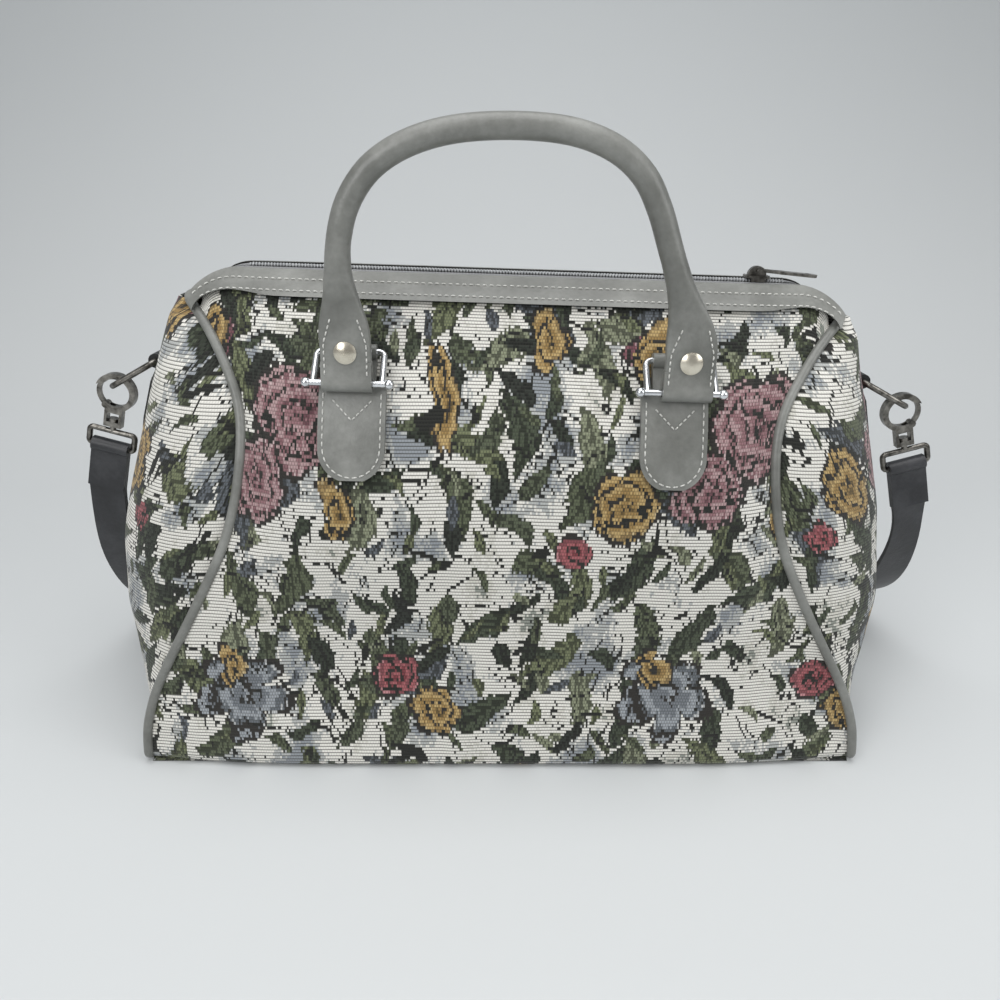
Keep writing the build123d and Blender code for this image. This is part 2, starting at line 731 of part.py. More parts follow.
strap_ends = {}
for side, side_name in ((-1, "left"), (1, "right")):
    end_roll = dring_wire + hinge_clearance + end_loop_leather
    bar = end_point(side, end_tab_top, soft_clearance + end_roll)
    with BuildPart() as end_tab:
        tab_levels = [end_tab_bottom + (end_tab_top - end_tab_bottom) * i / 4 for i in range(5)]
        inner = [end_point(side, height, soft_clearance) for height in tab_levels]
        outer = [end_point(side, height, soft_clearance + end_tab_thick) for height in tab_levels]
        with BuildSketch(Plane.XZ):
            with BuildLine():
                Spline([(point.X, point.Z) for point in inner])
                Spline([(point.X, point.Z) for point in outer])
                for end in (0, -1):
                    Line((inner[end].X, inner[end].Z), (outer[end].X, outer[end].Z))
            make_face()
            with Locations((bar.X, bar.Z)):
                Circle(end_roll)
                Circle(dring_wire + hinge_clearance, mode=Mode.SUBTRACT)
        extrude(amount=end_tab_half_width, both=True)
        with BuildSketch(Plane.YZ):
            with BuildLine():
                tip_height = inner[0].Z
                top_height = bar.Z - end_roll - soft_clearance
                Polyline(
                    (-end_tab_tip, tip_height),
                    (end_tab_tip, tip_height),
                    (end_tab_half_width, tip_height + 2 * end_tab_half_width),
                    (end_tab_half_width, top_height - end_tab_tip),
                    (end_loop_width / 2, top_height),
                    (end_loop_width / 2, bar.Z + 2 * end_roll),
                    (-end_loop_width / 2, bar.Z + 2 * end_roll),
                    (-end_loop_width / 2, top_height),
                    (-end_tab_half_width, top_height - end_tab_tip),
                    (-end_tab_half_width, tip_height + 2 * end_tab_half_width),
                    close=True,
                )
            make_face()
        extrude(amount=side * 2 * end_crown[0], mode=Mode.INTERSECT)
    end_tab.part.label = f"{side_name}_end_tab"
    export_step(end_tab.part, f"parts/{side_name}_end_tab.step")

    lean = radians(dring_tilt)
    down = Vector(side * sin(lean), 0, -cos(lean))
    far = bar + down * dring_length
    with BuildPart() as d_ring:
        half_width = dring_inner_width / 2 + dring_wire
        d_plane = Plane(origin=bar, x_dir=down, z_dir=down.cross(Vector(0, 1, 0)))
        with BuildLine(d_plane) as loop:
            FilletPolyline(
                (0, -half_width),
                (0, half_width),
                (dring_length, half_width),
                (dring_length, -half_width),
                radius=[dring_near_corner, dring_near_corner, dring_corner, dring_corner],
                close=True,
            )
        wire_line = loop.wires()[0]
        with BuildSketch(Plane(origin=wire_line @ 0, z_dir=wire_line % 0)):
            Circle(dring_wire)
        sweep(path=wire_line)
    d_ring.part.label = f"{side_name}_d_ring"
    export_step(d_ring.part, f"parts/{side_name}_d_ring.step")

    lean = radians(hook_lean)
    hook_up = Vector(-side * sin(lean), 0, cos(lean))
    throat = far - hook_up * (hook_throat - dring_wire - hook_rest_gap)
    middle = hook_throat + hook_wire / 2
    outer_radius = hook_throat + hook_wire
    hook_plane = Plane(origin=throat, x_dir=hook_up.cross(Vector(0, -1, 0)), z_dir=(0, -1, 0))
    neck_top = -hook_throat - hook_wire / 2
    window_top = -outer_radius - hook_web
    window_low = window_top - hook_window_height
    neck_low = window_low - hook_collar
    pivot = turned(side, gate_start, middle)
    gate_reach = 2 * middle * sin(radians((gate_end - gate_start) / 2))

    def swing_point(angle):
        reach = turned(side, angle, gate_reach + gate_tip_gap / 2)
        return (pivot[0] + reach[0], pivot[1] + reach[1])

    with BuildPart() as snap_hook:
        with BuildSketch(hook_plane):
            Circle(outer_radius)
            Circle(hook_throat, mode=Mode.SUBTRACT)
            with BuildLine():
                Polyline(
                    (0, 0),
                    turned(side, gate_start, 2 * outer_radius),
                    turned(side, (gate_start + nose_low) / 2, 3 * outer_radius),
                    turned(side, nose_low, 2 * outer_radius),
                    close=True,
                )
            make_face(mode=Mode.SUBTRACT)
            with BuildLine():
                Polyline(swing_point(gate_swing_high), pivot, swing_point(gate_swing_low))
                ThreePointArc(
                    swing_point(gate_swing_low),
                    swing_point((gate_swing_low + gate_swing_high) / 2),
                    swing_point(gate_swing_high),
                )
            make_face(mode=Mode.SUBTRACT)
            with Locations(pivot):
                Circle(gate_knuckle)
            with Locations((0, (neck_top + neck_low) / 2)):
                Rectangle(hook_neck_width, neck_top - neck_low)
            with Locations((0, (window_top + window_low) / 2)):
                Rectangle(hook_window_width, hook_window_height, mode=Mode.SUBTRACT)
        extrude(amount=hook_thick / 2, both=True)
        with BuildSketch(hook_plane):
            with Locations(pivot):
                Circle(gate_knuckle + hook_wire)
            with Locations((0, (neck_top + neck_low) / 2)):
                Rectangle(hook_neck_width, neck_top - neck_low, mode=Mode.SUBTRACT)
            with Locations(pivot):
                Circle(gate_knuckle + gate_clearance)
        extrude(amount=gate_slot / 2, both=True, mode=Mode.SUBTRACT)
        with BuildSketch(hook_plane):
            with Locations(pivot):
                Circle(gate_pin)
        extrude(amount=hook_thick / 2, both=True)
        with BuildSketch(Plane(origin=throat + hook_up * neck_low, z_dir=hook_up)):
            Circle(swivel_post + hinge_clearance)
        extrude(amount=hook_collar, mode=Mode.SUBTRACT)
    snap_hook.part.label = f"{side_name}_snap_hook"
    export_step(snap_hook.part, f"parts/{side_name}_snap_hook.step")

    with BuildPart() as snap_gate:
        with BuildSketch(hook_plane):
            Circle(middle + gate_wire / 2)
            Circle(middle - gate_wire / 2, mode=Mode.SUBTRACT)
            with BuildLine():
                Polyline(
                    (0, 0),
                    turned(side, gate_start, 2 * outer_radius),
                    turned(side, (gate_start + gate_end) / 2, 3 * outer_radius),
                    turned(side, 2 * gate_end, 3 * outer_radius),
                    close=True,
                )
            make_face(mode=Mode.INTERSECT)
            with Locations(pivot):
                Circle(gate_reach - gate_tip_gap / 2, mode=Mode.INTERSECT)
                Circle(gate_knuckle)
                Circle(gate_pin + hinge_clearance, mode=Mode.SUBTRACT)
        extrude(amount=gate_thick / 2, both=True)
    snap_gate.part.label = f"{side_name}_snap_gate"
    export_step(snap_gate.part, f"parts/{side_name}_snap_gate.step")

    head_low = window_low + hinge_clearance
    eye_top = neck_low - eye_neck
    eye_low = eye_top - eye_drop
    with BuildPart() as swivel_eye:
        with BuildSketch(Plane(origin=throat + hook_up * head_low, z_dir=hook_up)):
            Circle(swivel_head)
        extrude(amount=swivel_head_thick)
        with BuildSketch(Plane(origin=throat + hook_up * eye_top, z_dir=hook_up)):
            Circle(swivel_post)
        extrude(amount=head_low - eye_top)
        half_width = eye_inner_width / 2 + eye_wire
        with BuildLine(hook_plane) as loop:
            FilletPolyline(
                (-half_width, eye_top),
                (half_width, eye_top),
                (half_width, eye_low),
                (-half_width, eye_low),
                radius=eye_corner,
                close=True,
            )
        wire_line = loop.wires()[0]
        with BuildSketch(Plane(origin=wire_line @ 0, z_dir=wire_line % 0)):
            Circle(eye_wire)
        sweep(path=wire_line)
    swivel_eye.part.label = f"{side_name}_swivel_eye"
    export_step(swivel_eye.part, f"parts/{side_name}_swivel_eye.step")
    strap_ends[side] = (throat + hook_up * eye_low, hook_up)

# Strap route from the lap under each eye to the middle behind the bag: distance outward from the eye,
# distance back, height above the floor, then how far the strap has turned onto its edge in degrees
strap_route = [
    (10.0, 4.0, 92.0, 0.0),
    (13.0, 16.0, 64.0, 3.0),
    (16.0, 38.0, 38.0, 10.0),
    (17.0, 66.0, 20.0, 26.0),
    (12.0, 100.0, 13.0, 48.0),
    (-4.0, 134.0, 11.5, 70.0),
    (-34.0, 162.0, 11.0, 84.0),
    (-80.0, 179.0, 11.0, 90.0),
    (-140.0, 186.0, 11.0, 90.0),
]
with BuildPart() as shoulder_strap:
    halves = {}
    for side in (-1, 1):
        eye, eye_up = strap_ends[side]
        start = eye - eye_up * (strap_lap - strap_thick)
        half = [(start, 0.0)]
        for out, back, height, turn in strap_route:
            half.append((Vector(eye.X + side * out, back, height), turn))
        halves[side] = half
    stations = halves[-1] + halves[1][::-1]
    with BuildLine():
        strap_line = Spline(
            [point for point, turn in stations],
            tangents=(strap_ends[-1][1] * -1, strap_ends[1][1]),
        )
    for point, turn in stations:
        along = strap_line.tangent_at(strap_line.param_at_point(point))
        flat = (Vector(1, 0, 0) - along * along.X).normalized()
        across = flat.rotate(Axis((0, 0, 0), along), -turn if point.X < 0 else turn)
        if turn > strap_upright:
            across = (Vector(0, 0, 1) - along * along.Z).normalized()
        with BuildSketch(Plane(origin=point, x_dir=across, z_dir=along)):
            Rectangle(strap_width, strap_thick)
    loft()
    for side in (-1, 1):
        eye, eye_up = strap_ends[side]
        with BuildSketch(Plane(origin=eye, x_dir=(0, 1, 0), z_dir=Vector(0, 1, 0).cross(eye_up))):
            with Locations((0, -strap_lap / 2)):
                Rectangle(2 * strap_fold, strap_lap)
            Circle(eye_wire + hinge_clearance + strap_fold)
            Circle(eye_wire + hinge_clearance, mode=Mode.SUBTRACT)
        extrude(amount=strap_width / 2, both=True)
shoulder_strap.part.label = "shoulder_strap"
export_step(shoulder_strap.part, "parts/shoulder_strap.step")
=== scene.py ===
# %% [markdown]
# # A tapestry carpet bag in Blender
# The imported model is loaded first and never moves. Most of its leather and metal pieces have the right shape,
# so they only get a finish. The cloth, the handles, the zip teeth and the stitches are made here, in metres,
# where the model has its own.

# %% Load the bag
from math import atan2, cos, hypot, pi, radians, sin, sqrt

import bpy
import numpy as np
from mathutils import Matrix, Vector, noise
from mathutils.bvhtree import BVHTree


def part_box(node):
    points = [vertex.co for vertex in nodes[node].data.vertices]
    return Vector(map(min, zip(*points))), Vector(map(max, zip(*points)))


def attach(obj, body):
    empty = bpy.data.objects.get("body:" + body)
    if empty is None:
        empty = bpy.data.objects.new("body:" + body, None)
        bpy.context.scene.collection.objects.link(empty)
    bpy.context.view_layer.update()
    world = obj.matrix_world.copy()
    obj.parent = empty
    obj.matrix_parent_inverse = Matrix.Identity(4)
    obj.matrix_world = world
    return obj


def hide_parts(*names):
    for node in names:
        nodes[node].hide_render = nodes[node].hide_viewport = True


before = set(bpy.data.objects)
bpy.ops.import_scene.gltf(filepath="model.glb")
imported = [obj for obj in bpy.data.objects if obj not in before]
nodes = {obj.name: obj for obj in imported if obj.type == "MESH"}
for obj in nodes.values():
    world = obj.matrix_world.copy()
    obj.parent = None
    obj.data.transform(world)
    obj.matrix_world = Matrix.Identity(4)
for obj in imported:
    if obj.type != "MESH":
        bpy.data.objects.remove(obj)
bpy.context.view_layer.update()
MM = 0.001

# %% [markdown]
# ## Camera, floor and light
# The photograph was taken close up with a phone, a little above the bag. The floor is a pale table that turns
# up into a backdrop, so that there is no horizon. Large soft lamps give the plain light of a light box.

# %% Camera, in metres, degrees and millimetres of film
CAMERA_PLACE = (0, -0.397, 0.2832)
CAMERA_TILT = 66.97
LENS = 27.9
FILM = 36
bpy.ops.object.select_all(action="DESELECT")
bpy.ops.object.camera_add(location=CAMERA_PLACE, rotation=(radians(CAMERA_TILT), 0, 0))
camera = bpy.context.object
camera.data.lens = LENS
camera.data.sensor_width = FILM
camera.data.clip_start = 0.01
bpy.context.scene.camera = camera
print("camera", tuple(camera.location))


# %% Colour and node helpers
def linear(code):
    """An sRGB hex colour as linear red, green, blue and alpha."""
    parts = [int(code[i : i + 2], 16) / 255 for i in (1, 3, 5)]
    return [c / 12.92 if c <= 0.04045 else ((c + 0.055) / 1.055) ** 2.4 for c in parts] + [1.0]


def add(tree, kind, settings=None, *inputs):
    """Add a shader node. Settings are properties or named inputs, and the rest are its inputs in order."""
    node = tree.nodes.new("ShaderNode" + kind)
    for name, value in [*(settings or {}).items(), *enumerate(inputs)]:
        if isinstance(name, str) and name in node.bl_rna.properties:
            setattr(node, name, value)
        elif isinstance(value, bpy.types.Node):
            tree.links.new(value.outputs[0], node.inputs[name])
        elif isinstance(value, bpy.types.NodeSocket):
            tree.links.new(value, node.inputs[name])
        elif value is not None:
            node.inputs[name].default_value = value
    return node


def new_finish(name):
    """An empty material and its node tree."""
    material = bpy.data.materials.new(name)
    material.use_nodes = True
    material.node_tree.nodes.clear()
    return material, material.node_tree


def finish_with(tree, shader):
    """Join the last shader to the material's output."""
    add(tree, "OutputMaterial", None, shader)


def bands(tree, factor, stops, smooth=True):
    """A colour ramp from (place, hex colour) stops."""
    ramp = add(tree, "ValToRGB", None, factor)
    ramp.color_ramp.interpolation = "LINEAR" if smooth else "CONSTANT"
    marks = ramp.color_ramp.elements
    while len(marks) < len(stops):
        marks.new(0.5)
    for mark, (place, code) in zip(marks, stops):
        mark.position = place
        mark.color = linear(code)
    return ramp


print("sRGB mid grey in linear light", round(linear("#808080")[0], 3))

# %% Floor and backdrop, in metres
TABLE_WIDTH = 5
TABLE_DEPTH = 2.4
TABLE_MIDDLE = -0.2
TABLE_TOP = -0.0002
BACKDROP_HEIGHT = 2.2
BACKDROP_LEAN = 0.02
BACKDROP_CURVE = 0.7
PAINTED_SHADE_HEIGHT = 0.8


def make_table():
    """A pale sheet that lies flat under the bag and curves up behind it."""
    bpy.ops.object.select_all(action="DESELECT")
    bpy.ops.mesh.primitive_plane_add(size=1, location=(0, 0, 0))
    table = bpy.context.object
    table.name = "table"
    table.scale = (TABLE_WIDTH, TABLE_DEPTH, 1)
    table.location = (0, TABLE_MIDDLE, TABLE_TOP)
    bpy.ops.object.transform_apply(location=True, scale=True)
    bpy.ops.object.mode_set(mode="EDIT")
    bpy.ops.mesh.select_all(action="DESELECT")
    bpy.ops.object.mode_set(mode="OBJECT")
    far = TABLE_MIDDLE + TABLE_DEPTH / 2
    for edge in table.data.edges:
        edge.select = all(table.data.vertices[i].co.y > far - 0.1 for i in edge.vertices)
    bpy.ops.object.mode_set(mode="EDIT")
    bpy.ops.mesh.select_mode(type="EDGE")
    rise = (0, BACKDROP_LEAN, BACKDROP_HEIGHT)
    bpy.ops.mesh.extrude_region_move(TRANSFORM_OT_translate={"value": rise})
    bpy.ops.object.mode_set(mode="OBJECT")
    for edge in table.data.edges:
        ends = [table.data.vertices[i].co for i in edge.vertices]
        edge.select = all(end.y > far - 0.1 and end.z < 0.1 for end in ends)
    bpy.ops.object.mode_set(mode="EDIT")
    bpy.ops.mesh.bevel(offset=BACKDROP_CURVE, segments=24, affect="EDGES")
    bpy.ops.object.mode_set(mode="OBJECT")
    bpy.ops.object.shade_smooth()
    material, tree = new_finish("painted_table")
    place = add(tree, "TexCoord").outputs["Object"]
    height = add(tree, "SeparateXYZ", None, place).outputs["Z"]
    # The backdrop is painted darker as it rises: painted shade.
    share = add(tree, "MapRange", {"From Min": 0.0, "From Max": PAINTED_SHADE_HEIGHT}, height)
    tone = bands(tree, share, [(0.0, "#c9cccd"), (1.0, "#a2a6a8")])
    finish_with(tree, add(tree, "BsdfPrincipled", {"Base Color": tone, "Roughness": 0.6}))
    table.data.materials.append(material)
    print("table", len(table.data.polygons), "faces")


make_table()


# %% Lamps and world
def soft_lamp(name, place, aim, size, power):
    """A square soft lamp that points at a place on the bag."""
    bpy.ops.object.select_all(action="DESELECT")
    turn = (Vector(aim) - Vector(place)).to_track_quat("-Z", "Y").to_euler()
    bpy.ops.object.light_add(type="AREA", location=place, rotation=turn)
    lamp = bpy.context.object
    lamp.name = name
    lamp.data.size = size
    lamp.data.energy = power


soft_lamp("top_lamp", place=(0.0, -0.15, 1.35), aim=(0, 0, 0.1), size=1.2, power=13)
soft_lamp("front_lamp", place=(-0.75, -1.15, 0.85), aim=(0, 0, 0.12), size=0.8, power=9)
soft_lamp("side_lamp", place=(1.1, -0.6, 0.7), aim=(0, 0, 0.12), size=0.7, power=5)
world = bpy.data.worlds.new("light_box")
bpy.context.scene.world = world
world.use_nodes = True
world.node_tree.nodes["Background"].inputs["Color"].default_value = linear("#f0f1f2")
world.node_tree.nodes["Background"].inputs["Strength"].default_value = 0.45
bpy.context.scene.view_settings.view_transform = "Standard"
print("lamps", [lamp.name for lamp in bpy.data.lights])

# %% [markdown]
# ## The bag's shape as numbers
# The cloth is one wrap from the front top edge, under the base, to the back top edge, and two end panels. The
# model lofts them through cuts at a few heights. The same cuts are used here: how far out the cloth stands in
# the middle, and where its seam with the end panel runs. The bag leans a little to one side, as in the photo.

# %% Cuts through the bag, in millimetres
LEVELS = [3.0, 20.0, 40.0, 60.0, 90.0, 120.0, 150.0, 180.0, 205.0, 226.0, 237.0]
FRONT_CROWN = [85.0, 84.0, 79.0, 76.5, 76.0, 75.5, 71.0, 61.0, 46.0, 30.0, 13.0]
SEAM_DEPTH = [79.0, 77.0, 74.5, 73.0, 70.0, 66.0, 60.0, 50.0, 35.5, 20.0, 8.0]
SEAM_HALF_WIDTH = [182.0, 180.5, 174.0, 163.5, 147.0, 132.5, 125.5, 126.0, 139.5, 156.0, 158.0]
END_CROWN = [188.0, 194.0, 200.0, 204.0, 204.0, 198.0, 188.5, 179.0, 171.0, 164.0, 162.0]
PANEL_FLAT = 92.0
PANEL_TOP = 231.0
CLOTH = 1.4
SAG_ANGLE = 1.8
SAG_HEIGHT = 200.0
TOP_DRIFT = 9.0
RIDGE_FLAT = 134.0
RIDGE_END = 155.0
RIDGE_DROP = 11.5
STRAIGHT = 1e-4


def between(height, values):
    """Value at a height, on a smooth curve through the cuts."""
    if height <= LEVELS[0]:
        return values[0]
    if height >= LEVELS[-1]:
        return values[-1]
    count = len(LEVELS)
    low = max(i for i in range(count - 1) if LEVELS[i] <= height)

    def slope(i):
        before, after = max(i - 1, 0), min(i + 1, count - 1)
        return (values[after] - values[before]) / (LEVELS[after] - LEVELS[before])

    span = LEVELS[low + 1] - LEVELS[low]
    t = (height - LEVELS[low]) / span
    start = values[low] * (1 + 2 * t) * (1 - t) ** 2 + slope(low) * span * t * (1 - t) ** 2
    end = values[low + 1] * (3 - 2 * t) * t**2 - slope(low + 1) * span * t**2 * (1 - t)
    return start + end


def leaned(x, y, height):
    """A point of a level cut, moved into the bag's lean, in metres."""
    roll = radians(SAG_ANGLE * min(height / SAG_HEIGHT, 1.0))
    drift = TOP_DRIFT * (height / LEVELS[-1]) ** 2
    return Vector((drift + x * cos(roll), y, height - x * sin(roll))) * MM


def upper(x, y, z):
    """A point of the leaning top of the bag, in metres."""
    roll = radians(SAG_ANGLE)
    start = TOP_DRIFT - LEVELS[-1] * sin(roll)
    return Vector((start + x * cos(roll) + z * sin(roll), y, z * cos(roll) - x * sin(roll))) * MM


def strip_point(share, flat, crown, seam_along, seam_out):
    """Place on one cut, at a share from -1 to 1, seam to seam. Returns along, out and the cloth's length."""
    turn = 2 * atan2(crown - seam_out, seam_along - flat)
    radius = (seam_along - flat) / sin(turn) if turn > STRAIGHT else 0
    arc = radius * turn if turn > STRAIGHT else seam_along - flat
    run = abs(share) * (flat + arc)
    side = 1 if share > 0 else -1
    if run <= flat or turn <= STRAIGHT:
        return side * run, crown, side * run
    angle = (run - flat) / radius
    return side * (flat + radius * sin(angle)), crown - radius * (1 - cos(angle)), side * run


print("cuts", len(LEVELS), "crown at 90 mm", between(90, FRONT_CROWN))

# %% [markdown]
# ## The shoulder strap
# On the real bag this is a leather strap with its ends folded through the swivel eyes and sewn down. It
# is clipped on and hangs down behind the bag. Its line is one smooth curve through the model's route, and the
# model's own strap already follows it, folds and all, so it keeps that mesh and gets a finish painted nearly
# black: painted shade.

# %% Line of the strap, in millimetres: out from the eye, back, and up from the floor
STRAP_ROUTE = [
    (10.0, 4.0, 92.0),
    (13.0, 16.0, 64.0),
    (16.0, 38.0, 38.0),
    (17.0, 66.0, 20.0),
    (12.0, 100.0, 13.0),
    (-4.0, 134.0, 11.5),
    (-34.0, 162.0, 11.0),
    (-80.0, 179.0, 11.0),
    (-140.0, 186.0, 11.0),
]
EYES = {-1: Vector((-210.07, 0, 145.94)), 1: Vector((221.52, 0, 135.24))}
LAPS = {-1: Vector((-215.86, 0, 125.75)), 1: Vector((227.31, 0, 115.05))}


def strap_line():
    """The strap's middle line from the left eye to the right eye, as points in metres."""
    halves = {}
    for side in (-1, 1):
        bends = [Vector((EYES[side].x + side * out, back, up)) for out, back, up in STRAP_ROUTE]
        halves[side] = [EYES[side], LAPS[side], *bends]
    points = halves[-1] + halves[1][::-1]
    curve = bpy.data.curves.new("strap_line", "CURVE")
    curve.dimensions = "3D"
    curve.resolution_u = 12
    spline = curve.splines.new("NURBS")
    spline.points.add(len(points) - 1)
    for mark, point in zip(spline.points, points):
        mark.co = (*(point * MM), 1)
    spline.order_u = 3
    spline.use_endpoint_u = True
    guide = bpy.data.objects.new("strap_line", curve)
    bpy.context.scene.collection.objects.link(guide)
    bpy.context.view_layer.update()
    shape = bpy.data.meshes.new_from_object(guide)
    line = [vertex.co.copy() for vertex in shape.vertices]
    bpy.data.objects.remove(guide)
    bpy.data.meshes.remove(shape)
    return line


path = strap_line()
strap_length = sum((b - a).length for a, b in zip(path, path[1:]))
print("strap line", len(path), "points, length", round(strap_length, 4))
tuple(path[0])

# %% [markdown]
# ## The cloth wrap
# A real wrap is one length of tapestry that goes down the front, under the stiffener and up the back. It
# hangs from the zip, bulges low down and is pinched in at the waist of the end panels. It could be cut from
# the solid, but a grid that is laid over the cuts keeps the threads straight, so the weave runs level as it
# does on the bag. The grid's map holds real lengths along the cloth, in metres, for the pattern.


# %% Grid helper
def lay_grid(name, columns, rows, place):
    """A grid whose points are set by place(across, down), from 0 to 1, which gives a point and its map."""
    bpy.ops.object.select_all(action="DESELECT")
    bpy.ops.mesh.primitive_grid_add(x_subdivisions=columns, y_subdivisions=rows, size=2)
    piece = bpy.context.object
    piece.name = name
    mesh = piece.data
    spots = np.array([place((v.co.x + 1) / 2, (1 - v.co.y) / 2) for v in mesh.vertices])
    mesh.vertices.foreach_set("co", spots[:, :3].astype(np.float32).ravel())
    weave = mesh.uv_layers.new(name="weave")
    corners = np.zeros(len(mesh.loops), np.int32)
    mesh.loops.foreach_get("vertex_index", corners)
    weave.data.foreach_set("uv", spots[corners, 3:5].astype(np.float32).ravel())
    for layer in [layer for layer in mesh.uv_layers if layer.name != "weave"]:
        mesh.uv_layers.remove(layer)
    mesh.update()
    return piece


def face_outwards(piece, middle):
    """Turn every face to look away from a point inside."""
    mesh = piece.data
    wrong = sum((face.center - middle).dot(face.normal) < 0 for face in mesh.polygons)
    if wrong > len(mesh.polygons) / 2:
        mesh.flip_normals()


def soft_noise(x, y, z, size):
    """Smooth noise from 0 to 1 at a place in millimetres, for bumps of that size."""
    return 0.5 + 0.5 * noise.noise(Vector((x, y, z)) / size)


def ramp(value, start, span):
    """Rise evenly from 0 at the start to 1 a span later."""
    return max(0.0, min(1.0, (value - start) / span))


print("noise at the origin", soft_noise(0, 0, 0, 30), "and half way up a ramp", ramp(5, 0, 10))


# %% Lengths down the cloth
HEIGHTS = np.linspace(0.0, PANEL_TOP, 463)
FOLD = 6.0


def crown_at(height, values):
    """Outward distance at a height, with the base edge folded round a small radius."""
    if height >= FOLD:
        return between(height, values)
    return between(FOLD, values) - FOLD + sqrt(max(FOLD**2 - (FOLD - height) ** 2, 0))


outs = np.array([crown_at(height, FRONT_CROWN) for height in HEIGHTS])
steps = np.hypot(np.diff(HEIGHTS), np.diff(outs))
CLIMB = np.concatenate([[0.0], np.cumsum(steps)])
WALL = CLIMB[-1]
BASE = 2 * outs[0]
DOWN = 2 * WALL + BASE
print("cloth length from top to top", round(DOWN, 1), "mm")


def ridge_fall(along):
    """How far the top edge has dropped at a place along it: it curves down at both ends of the zip."""
    run = RIDGE_END - RIDGE_FLAT
    past = min(max(abs(along) - RIDGE_FLAT, 0), run)
    radius = (run**2 + RIDGE_DROP**2) / (2 * RIDGE_DROP)
    return radius - sqrt(radius**2 - past**2)


# %% Folds of the wrap
CHAPE_X = (-73.4, 71.0)
CHAPE_MIDDLE = 178.0
CHAPE_REACH = (24, 36)
SEAM_BAND = 0.14
PUCKER_DEPTH = 2.2
PUCKER_LENGTH = 2.3
LEAST_SAG = -0.2
MEAN_FALL = 1.4
# depth, squeeze along the bag, seed, squeeze up the wall, size: soft hollows, folds from the zip, level slack
WALL_FOLDS = [(4.2, 1.0, 40, 0.7, 62), (1.6, 2.2, 90, 0.35, 34), (1.3, 1.0, 200, 2.4, 46)]


def wall_sag(along, height, share, face):
    """How far a wall falls in, in millimetres: folds that die out at its edges, and puckers at its seams."""
    calm = 1 - ramp(abs(share), 1 - SEAM_BAND, SEAM_BAND) ** 2
    under_zip = ramp(226 - height, 0, 20)
    near_base = ramp(height, 1, 14)
    fall = 0
    for deep, wide, seed, tall, size in WALL_FOLDS:
        fall += deep * soft_noise(along * wide, seed * face, height * tall, size)
    clear = 1.0
    for place in CHAPE_X:
        reach = hypot((along - place) / CHAPE_REACH[0], (height - CHAPE_MIDDLE) / CHAPE_REACH[1])
        clear = min(clear, ramp(reach, 0.9, 1))
    sag = (fall - MEAN_FALL) * calm * under_zip * near_base * clear
    edge = max(0.0, 1 - (1 - abs(share)) / SEAM_BAND)
    wave = 0.5 + 0.5 * sin(height / PUCKER_LENGTH + 3 * soft_noise(0, 0, height, 30))
    return max(sag, LEAST_SAG) + PUCKER_DEPTH * edge * (1 - edge) * wave * under_zip


print("sag in the middle of the front", round(wall_sag(0, 100, 0, -1), 2), "mm")


# %% Place of every point of the wrap
SEAM_GAP = 1.3
BASE_BOW = 6
BASE_RIPPLE = 0.25
SQUEEZE_FROM = 180


def wall_place(share, height, face):
    """A point of the front (-1) or back (1) wall. Share runs from -1 at its left seam to 1 at its right."""
    crown = crown_at(height, FRONT_CROWN)
    depth = min(crown_at(height, SEAM_DEPTH), crown)
    seam = between(height, SEAM_HALF_WIDTH) - SEAM_GAP
    along, out, run = strip_point(share, PANEL_FLAT, crown, seam, depth)
    out -= wall_sag(along, height, share, face)
    return leaned(along, face * out, height), run


def wrap_place(across, down):
    """A point of the wrap and its map. Down runs from the front top edge, under the base, to the back one."""
    share = 2 * across - 1
    length = down * DOWN
    if WALL < length < WALL + BASE:
        y = length - WALL - BASE / 2
        half = between(0, SEAM_HALF_WIDTH) + BASE_BOW * (1 - (y / (BASE / 2)) ** 2) - SEAM_GAP
        ripple = BASE_RIPPLE * soft_noise(share * half, y, 0, 25)
        return (*(Vector((share * half, y, ripple)) * MM), share * half * MM, -length * MM)
    face = -1 if length <= WALL else 1
    climb = WALL - length if face < 0 else length - WALL - BASE
    height = float(np.interp(climb, CLIMB, HEIGHTS))
    point, run = wall_place(share, height, face)
    if ridge_fall(run) > 0:
        squeeze = max(0.0, (height - SQUEEZE_FROM) / (PANEL_TOP - SQUEEZE_FROM))
        height -= squeeze * ridge_fall(run)
        point, run = wall_place(share, height, face)
    return (*point, run * MM, -length * MM)


wrap = lay_grid("cloth_wrap", 118, 210, wrap_place)
face_outwards(wrap, Vector((0, 0, 0.12)))
print("wrap", len(wrap.data.polygons), "faces")


# %% Give the cloth its thickness
def thicken(piece):
    """Turn a sheet into cloth by adding its wall inwards, and smooth it."""
    bpy.ops.object.select_all(action="DESELECT")
    piece.select_set(True)
    bpy.context.view_layer.objects.active = piece
    wall = piece.modifiers.new("wall", "SOLIDIFY")
    wall.thickness = CLOTH * MM
    wall.offset = -1
    bpy.ops.object.modifier_apply(modifier=wall.name)
    bpy.ops.object.shade_smooth()


thicken(wrap)
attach(wrap, "root")
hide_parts("body_panel")
print("wrap with its wall", len(wrap.data.polygons), "faces")

# %% [markdown]
# ## The end panels
# Each end panel is a tall piece of the same cloth, sewn in with leather piping. It is wide at the base and
# narrow under the zip. It bulges low down and has slack folds that run level across it. It is laid over the
# same cuts as the wrap, from seam to seam, so the two pieces of cloth meet at the piping.

# %% Place of every point of an end panel
END_LOW = 3.0
END_HIGH = 222.0
END_NARROW = 215.0
END_TOP_DEPTH = 17.0
END_TOP_ALONG = 158.0
END_FLAT = 13.0
END_BAND = 0.2
END_TAB_MIDDLE = 166.0
END_TAB_REACH = (20, 36)
# depth, seed, squeeze across the panel, squeeze up it, size: level folds, then soft hollows
END_FOLDS = [(3.0, 70, 0.8, 2.2, 52), (2.0, 20, 1.0, 1.0, 40)]
